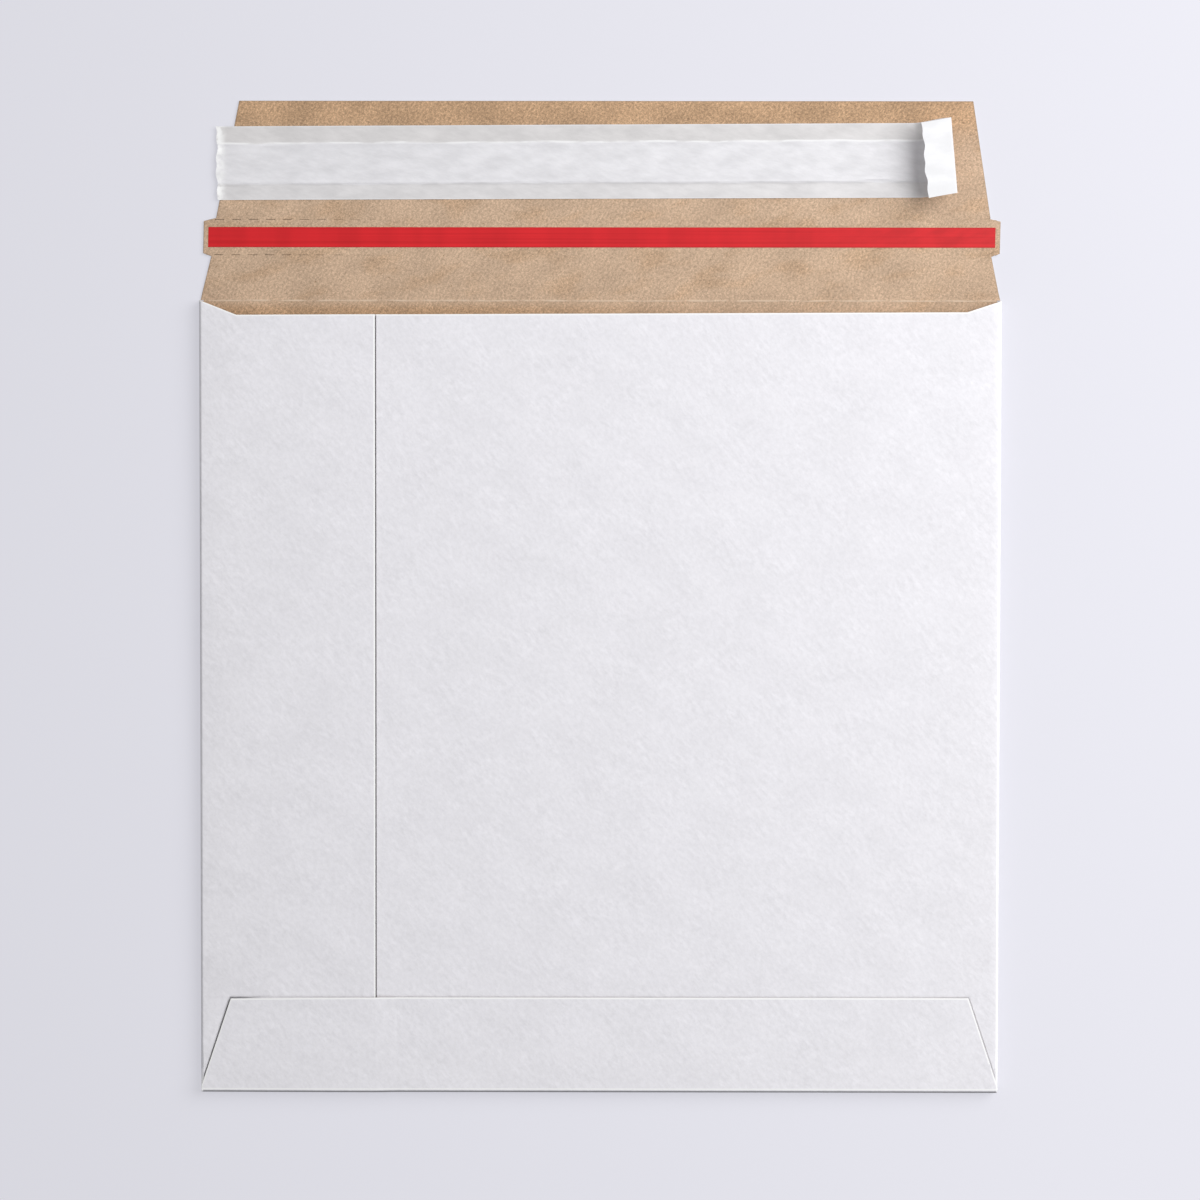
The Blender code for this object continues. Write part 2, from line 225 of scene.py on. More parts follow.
class Sheet:
    """A thin sheet that is scored and cut flat, folded, and then given its thickness.

    Its faces look up towards the side that is inside once the sheet is folded.
    """

    sharp_deg = 26.0          # angle between faces past which their edge shades as sharp

    def __init__(self, left: float, right: float, near: float, far: float, level: float) -> None:
        """Start from one flat rectangle.

        Args:
            left: Lowest X.
            right: Highest X.
            near: Lowest Y.
            far: Highest Y.
            level: Height of the middle of the sheet.
        """
        self.mesh = bmesh.new()
        bmesh.ops.create_grid(self.mesh, x_segments=1, y_segments=1, size=0.5)
        size = (right - left, far - near, 1.0)
        middle = ((left + right) / 2, (near + far) / 2, level)
        bmesh.ops.scale(self.mesh, vec=size, verts=self.mesh.verts)
        bmesh.ops.translate(self.mesh, vec=middle, verts=self.mesh.verts)

    def score(self, point: Vector, normal: Vector, region: Region = everywhere) -> None:
        """Add an edge along a line.

        Args:
            point: A point on the line.
            normal: Direction square to the line.
            region: Says of a face's centre whether the line crosses it.
        """
        faces = [face for face in self.mesh.faces if region(face.calc_center_median())]
        edges = {edge for face in faces for edge in face.edges}
        verts = {vert for face in faces for vert in face.verts}
        geometry = [*verts, *edges, *faces]
        bmesh.ops.bisect_plane(
            self.mesh, geom=geometry, dist=EXACT, plane_co=point, plane_no=normal
        )

    def score_columns(self, places: Iterable[float], region: Region = everywhere) -> None:
        """Add edges along lines of one X each."""
        for x in places:
            self.score(Vector((x, 0.0, 0.0)), Vector((1.0, 0.0, 0.0)), region)

    def score_rows(self, places: Iterable[float], region: Region = everywhere) -> None:
        """Add edges along lines of one Y each."""
        for y in places:
            self.score(Vector((0.0, y, 0.0)), Vector((0.0, 1.0, 0.0)), region)

    def drop(self, region: Region) -> None:
        """Take away every face whose centre lies in a region."""
        waste = [face for face in self.mesh.faces if region(face.calc_center_median())]
        bmesh.ops.delete(self.mesh, geom=waste, context="FACES")

    def trim_sides(self, corners: Sequence[tuple[float, float]], rim_band: float) -> None:
        """Cut both sides to one outline, given as the right side's (X, Y) with Y rising."""
        for first, second in zip(corners, corners[1:]):
            if second[1] - first[1] > EXACT:
                self.trim_band(first, second, rim_band)

    def trim_band(
        self, first: tuple[float, float], second: tuple[float, float], rim_band: float
    ) -> None:
        """Cut both sides between two rows to a straight line.

        Args:
            first: Half width at the lower row, and that row's Y.
            second: Half width at the upper row, and that row's Y.
            rim_band: Distance inside the cut at which the rim's own band ends.
        """
        first_x, near = first
        second_x, far = second
        self.score_rows([near, far])
        slope = (second_x - first_x) / (far - near)

        def in_band(centre: Vector) -> bool:
            return near < centre.y < far

        def outside(centre: Vector) -> bool:
            return in_band(centre) and abs(centre.x) > first_x + slope * (centre.y - near)

        for side in (-1.0, 1.0):
            normal = Vector((side, -slope, 0.0)).normalized()
            foot = Vector((side * first_x, near, 0.0))
            self.score(foot, normal, in_band)
            self.score(foot - normal * rim_band, normal, in_band)
        self.drop(outside)

    def note_flat(self) -> None:
        """Keep each point's flat place, for the folding and for the UV map."""
        u_layer = self.mesh.verts.layers.float.new("flat_u")
        v_layer = self.mesh.verts.layers.float.new("flat_v")
        for vert in self.mesh.verts:
            vert[u_layer] = vert.co.x
            vert[v_layer] = vert.co.y

    def flat(self, vert: bmesh.types.BMVert) -> tuple[float, float]:
        """A point's place in the flat sheet."""
        layers = self.mesh.verts.layers.float
        return vert[layers["flat_u"]], vert[layers["flat_v"]]

    def fold_up(self, arm: Arm, start: float, board: Board, level: float, root: float) -> None:
        """Turn up all of an arm past one quarter fold.

        Args:
            arm: The arm that turns.
            start: Reach along the arm at which the fold begins.
            board: Sizes of the fold.
            level: Height of the flat sheet.
            root: Y under which the sheet belongs to the bottom arm.
        """
        axis = arm.outward.cross(UP)
        for step in range(board.fold_steps, -1, -1):
            place = start + step * board.chord
            at_end = step in (0, board.fold_steps)
            angle = math.radians(90.0 / board.fold_steps) * (0.5 if at_end else 1.0)
            beyond = []
            for vert in self.mesh.verts:
                u, v = self.flat(vert)
                mine = arm is Arm.BOTTOM or v > root - EXACT
                if mine and arm.reach(u, v) > place + EXACT:
                    beyond.append(vert)
            hinge = arm.outward * place + UP * level
            turn = Matrix.Rotation(angle, 3, axis)
            bmesh.ops.rotate(self.mesh, cent=hinge, matrix=turn, verts=beyond)

    def shape(self, move: Callable[[Vector, float, float], Vector]) -> None:
        """Move every point to where a function of its present and flat place says."""
        for vert in self.mesh.verts:
            vert.co = move(vert.co.copy(), *self.flat(vert))

    def note_painted_light(self, wear: Callable[[Vector, float, float, bool], float]) -> None:
        """Keep each point's painted light, from its place, flat place and whether it is on a cut."""
        layer = self.mesh.verts.layers.float.new(PAINTED_LIGHT_MAP)
        for vert in self.mesh.verts:
            vert[layer] = wear(vert.co, *self.flat(vert), vert.is_boundary)

    def colour_cuts(self, region: Region) -> None:
        """Give the cut edges in a region the inner side's finish."""
        for face in self.mesh.faces:
            if face.material_index == Face.CUT.value and region(face.calc_center_median()):
                face.material_index = Face.INSIDE.value

    def thicken(self, thickness: float) -> None:
        """Grow the sheet by half its thickness to each side and close its cut edges."""
        self.mesh.normal_update()
        faces = list(self.mesh.faces)
        shifts = {}
        for vert in self.mesh.verts:
            shifts[vert] = vert.normal * vert.calc_shell_factor() * thickness / 2
        for vert, shift in shifts.items():
            vert.co += shift
        inner = set(self.mesh.verts)
        bmesh.ops.solidify(self.mesh, geom=faces, thickness=thickness)
        for face in self.mesh.faces:
            held = sum(vert in inner for vert in face.verts)
            if held == len(face.verts):
                face.material_index = Face.INSIDE.value
            elif held == 0:
                face.material_index = Face.OUTSIDE.value
            else:
                face.material_index = Face.CUT.value
        self.mesh.normal_update()

    def round_rims(self, board: Board, sharp: Callable[[float, float], bool]) -> None:
        """Round the corners along the cut edges, apart from those at sharp flat places."""
        rims = []
        for edge in self.mesh.edges:
            cut = [face.material_index == Face.CUT.value for face in edge.link_faces]
            if sorted(cut) != [False, True]:
                continue
            if all(sharp(*self.flat(vert)) for vert in edge.verts):
                continue
            rims.append(edge)
        bmesh.ops.bevel(
            self.mesh,
            geom=rims,
            offset=board.rim_radius,
            offset_type="OFFSET",
            segments=board.rim_steps,
            profile=0.5,
            affect="EDGES",
            clamp_overlap=False,
            material=-1,
        )

    def to_object(self, name: str, finishes: Sequence[bpy.types.Material]) -> bpy.types.Object:
        """Turn the sheet into an object with its UV map and materials.

        Args:
            name: The piece's name.
            finishes: Materials in the order of Face.

        Returns:
            The new object, at the origin.
        """
        uv_layer = self.mesh.loops.layers.uv.new(FLAT_MAP)
        for face in self.mesh.faces:
            face.smooth = True
            for loop in face.loops:
                loop[uv_layer].uv = self.flat(loop.vert)
        layers = self.mesh.verts.layers.float
        layers.remove(layers["flat_u"])
        layers.remove(layers["flat_v"])
        data = bpy.data.meshes.new(name)
        self.mesh.to_mesh(data)
        self.mesh.free()
        data.set_sharp_from_angle(angle=math.radians(self.sharp_deg))
        for finish in finishes:
            data.materials.append(finish)
        thing = bpy.data.objects.new(name, data)
        bpy.context.scene.collection.objects.link(thing)
        return thing


@dataclass(frozen=True)
class Grain:
    """Noise drawn out along one direction, turned from X, with ever finer layers."""

    length: float
    width: float
    turn_deg: float = 0.0
    detail: float = 2.0
    fineness: float = 0.5


class Recipe:
    """A material's node tree, with one short call for each kind of node that it needs."""

    def __init__(self, name: str, roughness: float, specular: float = 0.5) -> None:
        """Start a material, with the level of its plain reflection."""
        self.material = bpy.data.materials.new(name)
        self.material.use_nodes = True
        self.tree = self.material.node_tree
        self.shader = self.tree.nodes["Principled BSDF"]
        self.shader.inputs["Roughness"].default_value = roughness
        self.shader.inputs["Specular IOR Level"].default_value = specular

    def fill(self, target: Socket, value: Value) -> None:
        """Link a socket to another one, or set its value."""
        if isinstance(value, Socket):
            self.tree.links.new(value, target)
        else:
            target.default_value = value

    def flat_place(self) -> Socket:
        """Place in the unfolded sheet."""
        node = self.tree.nodes.new("ShaderNodeUVMap")
        node.uv_map = FLAT_MAP
        return node.outputs["UV"]

    def object_place(self) -> Socket:
        """Place in the object's own coordinates."""
        return self.tree.nodes.new("ShaderNodeTexCoord").outputs["Object"]

    def wear(self) -> Socket:
        """Painted light: above 0 a painted highlight, less than 0 painted shade."""
        node = self.tree.nodes.new("ShaderNodeAttribute")
        node.attribute_name = PAINTED_LIGHT_MAP
        return node.outputs["Fac"]

    def parts(self, place: Socket) -> tuple[Socket, Socket, Socket]:
        """A place's three numbers."""
        node = self.tree.nodes.new("ShaderNodeSeparateXYZ")
        self.tree.links.new(place, node.inputs[0])
        return node.outputs[0], node.outputs[1], node.outputs[2]

    def grain(self, place: Socket, grain: Grain) -> Socket:
        """Noise read at a place, of about 0 to 1 and 0.5 on average."""
        mapping = self.tree.nodes.new("ShaderNodeMapping")
        mapping.vector_type = "TEXTURE"
        mapping.inputs["Rotation"].default_value = (0.0, 0.0, math.radians(grain.turn_deg))
        mapping.inputs["Scale"].default_value = (grain.length, grain.width, grain.width)
        self.tree.links.new(place, mapping.inputs["Vector"])
        node = self.tree.nodes.new("ShaderNodeTexNoise")
        node.inputs["Scale"].default_value = 1.0
        node.inputs["Detail"].default_value = grain.detail
        node.inputs["Roughness"].default_value = grain.fineness
        self.tree.links.new(mapping.outputs["Vector"], node.inputs["Vector"])
        return node.outputs["Fac"]

    def remap(
        self, value: Value, low: float, high: float, first: float = 0.0, last: float = 1.0
    ) -> Socket:
        """Spread a value from low to high over first to last, eased and held at both ends."""
        node = self.tree.nodes.new("ShaderNodeMapRange")
        node.interpolation_type = "SMOOTHSTEP"
        settings = {
            "Value": value,
            "From Min": low,
            "From Max": high,
            "To Min": first,
            "To Max": last,
        }
        for name, setting in settings.items():
            self.fill(node.inputs[name], setting)
        return node.outputs["Result"]

    def vary(self, noise: Socket, depth: float, reach: float = 0.2) -> Socket:
        """Brightness about 1 that follows a noise, by a depth each way."""
        return self.remap(noise, 0.5 - reach, 0.5 + reach, 1.0 - depth, 1.0 + depth)

    def product(self, first: Value, *others: Value) -> Value:
        """Several numbers multiplied."""
        for other in others:
            first = self.calc("MULTIPLY", first, other)
        return first

    def calc(self, operation: str, first: Value, second: Value = 0.0) -> Socket:
        """One step of arithmetic, named as the Math node names it."""
        node = self.tree.nodes.new("ShaderNodeMath")
        node.operation = operation
        self.fill(node.inputs[0], first)
        self.fill(node.inputs[1], second)
        return node.outputs[0]

    def blend(self, share: Value, first: Value, second: Value) -> Socket:
        """Mix two colours, by the share of the second one."""
        node = self.tree.nodes.new("ShaderNodeMix")
        node.data_type = "RGBA"
        self.fill(node.inputs[0], share)
        self.fill(node.inputs[6], first if isinstance(first, Socket) else (*first, 1.0))
        self.fill(node.inputs[7], second if isinstance(second, Socket) else (*second, 1.0))
        return node.outputs[2]

    def shade(self, colour: Value, value: Value) -> Socket:
        """Make a colour darker or lighter by what it is multiplied by."""
        node = self.tree.nodes.new("ShaderNodeHueSaturation")
        self.fill(node.inputs["Value"], value)
        self.fill(node.inputs["Color"], colour if isinstance(colour, Socket) else (*colour, 1.0))
        return node.outputs["Color"]

    def line_at(self, place: Socket, middle: float, half_width: float) -> Socket:
        """1 where a coordinate is at the middle value, fading to 0 at a half width from it."""
        offset = self.calc("ABSOLUTE", self.calc("SUBTRACT", place, middle))
        return self.remap(offset, 0.0, half_width, 1.0, 0.0)

    def emboss(self, height: Socket, depth: float) -> None:
        """Give the surface a fine relief of one depth."""
        node = self.tree.nodes.new("ShaderNodeBump")
        node.inputs["Strength"].default_value = 1.0
        node.inputs["Distance"].default_value = depth
        self.tree.links.new(height, node.inputs["Height"])
        self.tree.links.new(node.outputs["Normal"], self.shader.inputs["Normal"])

    def finish(self, colour: Socket) -> bpy.types.Material:
        """Set the surface's colour and hand over the material."""
        self.tree.links.new(colour, self.shader.inputs["Base Color"])
        return self.material


@dataclass(frozen=True)
class WhiteCoating:
    """Matt white coated side of the board, with faint slanting strokes of its fibres."""

    colour: Colour = (0.855, 0.843, 0.886)
    # Painted highlight on rims and pale folds, then the dark painted shade of grooves and folds
    bright: Colour = (0.97, 0.97, 0.975)
    painted_shade: Colour = (0.26, 0.26, 0.28)
    roughness: float = 0.5
    specular: float = 0.45
    strokes: Grain = Grain(0.0052, 0.0021, 47.0, 5.0, 0.65)
    stroke_depth: float = 0.09
    stroke_patches: Grain = Grain(0.016, 0.011, -20.0, 1.0)
    faint_stroke: float = 0.25
    clouds: Grain = Grain(0.022, 0.0132, 30.0, 3.0)
    cloud_depth: float = 0.02
    grains: Grain = Grain(0.0022, 0.0016, 58.0, 5.0, 0.75)
    grain_depth: float = 0.045
    relief: float = 0.00003

    def make(self) -> bpy.types.Material:
        """Build the material."""
        recipe = Recipe("white_coating", self.roughness, self.specular)
        place = recipe.flat_place()
        strokes = recipe.grain(place, self.strokes)
        patches = recipe.grain(place, self.stroke_patches)
        swing = recipe.product(
            recipe.calc("SUBTRACT", recipe.remap(strokes, 0.3, 0.7), 0.5),
            self.stroke_depth,
            recipe.remap(patches, 0.38, 0.62, self.faint_stroke, 1.0),
        )
        shade = recipe.product(
            recipe.calc("ADD", swing, 1.0),
            recipe.vary(recipe.grain(place, self.clouds), self.cloud_depth),
            recipe.vary(recipe.grain(place, self.grains), self.grain_depth),
        )
        colour = recipe.shade(self.colour, shade)
        wear = recipe.wear()
        # Painted highlight where the edge attribute is above 0, painted shade where it is below 0
        colour = recipe.blend(recipe.remap(wear, 0.0, 0.5), colour, self.bright)
        colour = recipe.blend(recipe.remap(wear, 0.0, -1.0), colour, self.painted_shade)
        recipe.emboss(strokes, self.relief)
        return recipe.finish(colour)


@dataclass(frozen=True)
class KraftFace:
    """Uncoated kraft side of the board, with fibres, flecks and soft clouds."""

    colour: Colour = (0.582, 0.416, 0.290)
    deep: Colour = (0.505, 0.32, 0.186)
    dark: Colour = (0.30, 0.18, 0.095)
    pale: Colour = (0.74, 0.585, 0.44)
    # Dark brown of painted shade along the cut rims and in the open perforations
    cut: Colour = (0.33, 0.225, 0.145)
    roughness: float = 0.85
    specular: float = 0.2
    fibre_length: float = 0.0016
    fibre_width: float = 0.00055
    fibre_turns_deg: tuple[float, ...] = (18.0, 74.0, -48.0, -12.0)
    flecks: Grain = Grain(0.0017, 0.0009, 35.0)
    grains: Grain = Grain(0.0013, 0.0010, 60.0, 4.0, 0.9)
    grain_depth: float = 0.29
    specks: Grain = Grain(0.0008, 0.0006, -20.0, 2.0, 0.8)
    speck_depth: float = 0.16
    clouds: Grain = Grain(0.016, 0.0128, 30.0, 3.0)
    cloud_depth: float = 0.08
    vary_reach: float = 0.22
    patches: Grain = Grain(0.020, 0.009, 12.0, 3.0)
    patch_share: float = 0.42
    end_length: float = 0.020
    end_share: float = 0.85
    # Painted shade on the strip below the crease, next to the pocket's mouth
    mouth_shade_length: float = 0.004
    mouth_shade_share: float = 0.8
    deep_contrast: float = 1.45
    relief: float = 0.00003
    crease_half_width: float = 0.0005
    crease_breaks: Grain = Grain(0.007, 0.0011, 0.0, 3.0)

    def make(self, crease_y: float, end_y: float) -> bpy.types.Material:
        """Build the material.

        Args:
            crease_y: Line along which the flap's crease shows a broken painted highlight.
            end_y: Free end of the flap, which is browner than the rest.

        Returns:
            The material.
        """
        recipe = Recipe("kraft_face", self.roughness, self.specular)
        place = recipe.flat_place()
        grains = recipe.grain(place, self.grains)
        brown_and_shade = self.brown_and_shade(recipe, place, crease_y, end_y)
        colour = recipe.blend(brown_and_shade, self.colour, self.deep)
        mottle = recipe.product(
            recipe.vary(recipe.grain(place, self.clouds), self.cloud_depth, self.vary_reach),
            recipe.vary(grains, self.grain_depth, self.vary_reach),
            recipe.vary(recipe.grain(place, self.specks), self.speck_depth, self.vary_reach),
        )
        contrast = recipe.remap(brown_and_shade, 0.0, self.end_share, 1.0, self.deep_contrast)
        colour = recipe.shade(colour, recipe.calc("POWER", mottle, contrast))
        for index, turn in enumerate(self.fibre_turns_deg):
            fibre = Grain(self.fibre_length, self.fibre_width, turn, 4.0, 0.7)
            share = recipe.remap(recipe.grain(place, fibre), 0.60, 0.78, 0.0, 0.6)
            colour = recipe.blend(share, colour, self.pale if index % 2 else self.dark)
        flecks = recipe.remap(recipe.grain(place, self.flecks), 0.70, 0.76, 0.0, 0.8)
        colour = recipe.blend(flecks, colour, self.dark)
        colour = recipe.blend(self.crease(recipe, place, crease_y), colour, self.pale)
        # Painted shade: the rims and the open perforations go dark brown
        cut = recipe.remap(recipe.wear(), 0.35, 1.0, 0.0, 0.75)
        colour = recipe.blend(cut, colour, self.cut)
        recipe.emboss(grains, self.relief)
        return recipe.finish(colour)

    def brown_and_shade(self, recipe: Recipe, place: Socket, crease_y: float, end_y: float) -> Socket:
        """Browner stretches: the free end and soft patches, and painted shade on the strip below the crease.

        Args:
            recipe: The material in the making.
            place: Where the patterns are read.
            crease_y: The crease's place in the flat sheet.
            end_y: The free end's place in the flat sheet.

        Returns:
            Share of the deep colour.
        """
        across, along, _ = recipe.parts(place)
        start = end_y - self.end_length
        end = recipe.remap(along, start, start + 0.7 * self.end_length, 0.0, self.end_share)
        # Painted shade on the strip below the crease, darker towards the left
        mouth_shade_top = crease_y + self.crease_half_width
        mouth_shade = recipe.product(
            recipe.remap(along, mouth_shade_top, crease_y - self.mouth_shade_length, 0.0, self.mouth_shade_share),
            recipe.remap(across, -0.06, 0.06, 1.0, 0.2),
        )
        patches = recipe.grain(place, self.patches)
        patches = recipe.remap(patches, 0.46, 0.70, 0.0, self.patch_share)
        return recipe.calc("MAXIMUM", recipe.calc("MAXIMUM", end, mouth_shade), patches)

    def crease(self, recipe: Recipe, place: Socket, crease_y: float) -> Socket:
        """Share of the pale colour: a broken painted highlight along the crease, at its flat place."""
        _, along, _ = recipe.parts(place)
        line = recipe.line_at(along, crease_y, self.crease_half_width)
        breaks = recipe.grain(place, self.crease_breaks)
        return recipe.product(line, recipe.remap(breaks, 0.38, 0.58, 0.1, 1.0))


@dataclass(frozen=True)
class CutEdge:
    """Die-cut edge of the board: the pale compressed layers between the coating and the kraft."""

    colour: Colour = (0.80, 0.79, 0.775)
    roughness: float = 0.8
    specular: float = 0.2
    layers: Grain = Grain(0.0012, 0.0004)

    def make(self) -> bpy.types.Material:
        """Build the material."""
        recipe = Recipe("cut_edge", self.roughness, self.specular)
        layers = recipe.grain(recipe.flat_place(), self.layers)
        shade = recipe.remap(layers, 0.3, 0.7, 0.93, 1.05)
        return recipe.finish(recipe.shade(self.colour, shade))


@dataclass(frozen=True)
class RedFilm:
    """Satin red film of the tear tape, drawn out along its length."""

    colour: Colour = (0.665, 0.020, 0.026)
    deep: Colour = (0.50, 0.012, 0.018)
    bright: Colour = (0.74, 0.022, 0.028)
    roughness: float = 0.38
    specular: float = 0.2
    streaks: Grain = Grain(0.09, 0.0007)
    streak_share: float = 0.4
    bands: Grain = Grain(0.011, 0.08)
    band_depth: float = 0.06
    # Blotches of painted shadow of the finger tab, growing towards the tape's right end
    tab_shadow_blotches: Grain = Grain(0.014, 0.006, 20.0, 3.0)
    tab_shadow_depth: float = 0.16
    tab_shadow_start: float = 0.04
    tab_shadow_full: float = 0.15
    seam_at: float = -0.27
    seam_half_width: float = 0.0007
    # Line of painted glint along the tape
    glint_at: float = -0.38
    glint_half_width: float = 0.0006
    # Width of the painted shade along both edges
    edge_fade: float = 0.0005
    relief: float = 0.00002

    def make(self, middle_y: float, width: float) -> bpy.types.Material:
        """Build the material.

        Args:
            middle_y: Middle line of the tape.
            width: The tape's width.

        Returns:
            The material.
        """
        recipe = Recipe("red_film", self.roughness, self.specular)
        place = recipe.object_place()
        across, along, _ = recipe.parts(place)
        streaks = recipe.grain(place, self.streaks)
        colour = self.colour
        for end, tone in ((0.72, self.bright), (0.28, self.deep)):
            share = recipe.remap(streaks, 0.5, end, 0.0, self.streak_share)
            colour = recipe.blend(share, colour, tone)
        seam = recipe.line_at(along, middle_y + self.seam_at * width, self.seam_half_width)
        colour = recipe.blend(recipe.product(seam, 0.4), colour, self.deep)
        # Painted glint: a bright line along the tape
        painted_glint = recipe.line_at(along, middle_y + self.glint_at * width, self.glint_half_width)
        colour = recipe.blend(recipe.product(painted_glint, 0.7), colour, self.bright)
        bands = recipe.vary(recipe.grain(place, self.bands), self.band_depth)
        colour = recipe.shade(colour, bands)
        # Painted shadow of the finger tab: dark blotches growing towards the right end
        tab_shadow_blotches = recipe.grain(place, self.tab_shadow_blotches)
        tab_shadow = recipe.product(
            recipe.remap(tab_shadow_blotches, 0.35, 0.65, 0.0, self.tab_shadow_depth),
            recipe.remap(across, self.tab_shadow_start, self.tab_shadow_full),
        )
        colour = recipe.shade(colour, recipe.calc("SUBTRACT", 1.0, tab_shadow))
        # Painted shade along both edges of the tape
        for side in (-1.0, 1.0):
            edge = recipe.line_at(along, middle_y + side * width / 2, self.edge_fade)
            colour = recipe.blend(recipe.product(edge, 0.6), colour, self.deep)
        recipe.emboss(streaks, self.relief)
        return recipe.finish(colour)


@dataclass(frozen=True)
class ClosingGlue:
    """Glossy band of hot-melt adhesive, which lets the kraft shine through."""

    colour: Colour = (0.58, 0.45, 0.30)
    pale: Colour = (0.68, 0.56, 0.42)
    roughness: float = 0.22
    ribs: Grain = Grain(0.05, 0.0012)
    relief: float = 0.00006

    def make(self) -> bpy.types.Material:
        """Build the material."""
        recipe = Recipe("closing_glue", self.roughness)
        ribs = recipe.grain(recipe.object_place(), self.ribs)
        colour = recipe.blend(recipe.remap(ribs, 0.35, 0.65), self.colour, self.pale)
        recipe.emboss(ribs, self.relief)
        return recipe.finish(colour)


@dataclass(frozen=True)
class SiliconePaper:
    """Thin white liner paper: greyer where it lies on the kraft, whiter over the adhesive."""

    margin: Colour = (0.70, 0.682, 0.684)
    middle: Colour = (0.792, 0.784, 0.813)
    white: Colour = (0.80, 0.80, 0.82)
    # Painted highlight on the curled-up left end
    curl_highlight: Colour = (0.93, 0.93, 0.93)
    # Painted highlight along the adhesive's upper edge, and painted shade along its lower edge
    ridge: Colour = (0.93, 0.93, 0.94)
    seam: Colour = (0.56, 0.55, 0.56)
    roughness: float = 0.42
    wander: Grain = Grain(0.02, 0.006)
    wander_reach: float = 0.0016
    clouds: Grain = Grain(0.016, 0.006, 8.0, 3.0)
    cloud_depth: float = 0.05
    wrinkles: Grain = Grain(0.006, 0.0022, -14.0, 5.0, 0.7)
    wrinkle_depth: float = 0.04
    patches: Grain = Grain(0.012, 0.004, 4.0, 3.0)
    flutes: Grain = Grain(0.003, 0.003)
    line_offset: float = 0.0002
    ridge_half_width: float = 0.0007
    seam_half_width: float = 0.0006
    edge_fade: float = 0.0007
    curl_highlight_length: float = 0.0045
    relief: float = 0.00008

    def make(
        self,
        half_width: float,
        band_half: float,
        band_shift: float,
        end_at: float,
        fold_at: float,
    ) -> bpy.types.Material:
        """Build the material.

        Args:
            half_width: Half of the liner's width.
            band_half: Half of the adhesive's width.
            band_shift: The adhesive's middle line, above the liner's.
            end_at: Flat place along the liner of its ripped-off left end.
            fold_at: Flat place along the liner of the finger tab's fold.

        Returns:
            The material.
        """
        recipe = Recipe("silicone_paper", self.roughness)
        place = recipe.flat_place()
        along, across, _ = recipe.parts(place)
        wander = recipe.calc("SUBTRACT", recipe.grain(place, self.wander), 0.5)
        wander = recipe.product(wander, self.wander_reach)
        bent = recipe.calc("ADD", recipe.calc("SUBTRACT", across, band_shift), wander)
        off_band = recipe.calc("ABSOLUTE", bent)
        band = recipe.remap(off_band, band_half - 0.0003, band_half + 0.0006, 1.0, 0.0)
        lower = recipe.remap(across, -0.5 * band_half, 0.0, 0.25, 0.0)
        margin = recipe.blend(lower, self.margin, self.middle)
        colour = recipe.blend(band, margin, self.middle)
        clouds = recipe.grain(place, self.clouds)
        wrinkles = recipe.grain(place, self.wrinkles)
        shade = recipe.product(
            recipe.vary(clouds, self.cloud_depth), recipe.vary(wrinkles, self.wrinkle_depth)
        )
        colour = recipe.shade(colour, shade)
        patches = recipe.grain(place, self.patches)
        # Painted highlight along the adhesive's upper edge, in patches
        ridge = recipe.product(
            recipe.line_at(bent, band_half + self.line_offset, self.ridge_half_width),
            recipe.remap(patches, 0.36, 0.56, 0.15, 0.9),
        )
        colour = recipe.blend(ridge, colour, self.ridge)
        # Painted shade along the adhesive's lower edge, in patches
        seam = recipe.product(
            recipe.line_at(bent, -band_half - self.line_offset, self.seam_half_width),
            recipe.remap(patches, 0.40, 0.60, 0.0, 0.4),
        )
        colour = recipe.blend(seam, colour, self.seam)
        out = recipe.calc("ABSOLUTE", across)
        edge = recipe.remap(out, half_width - self.edge_fade, half_width, 0.0, 0.85)
        tab = recipe.remap(along, fold_at - self.line_offset, fold_at + self.line_offset)
        white = recipe.shade(self.white, recipe.remap(clouds, 0.35, 0.65, 0.96, 1.04))
        colour = recipe.blend(recipe.calc("MAXIMUM", edge, tab), colour, white)
        # Painted highlight on the curled-up left end, in patches
        curl_highlight = recipe.product(
            recipe.remap(along, end_at + self.curl_highlight_length, end_at + 0.0008),
            recipe.remap(recipe.grain(place, self.flutes), 0.35, 0.6, 0.1, 1.0),
        )
        colour = recipe.blend(curl_highlight, colour, self.curl_highlight)
        recipe.emboss(wrinkles, self.relief)
        return recipe.finish(colour)


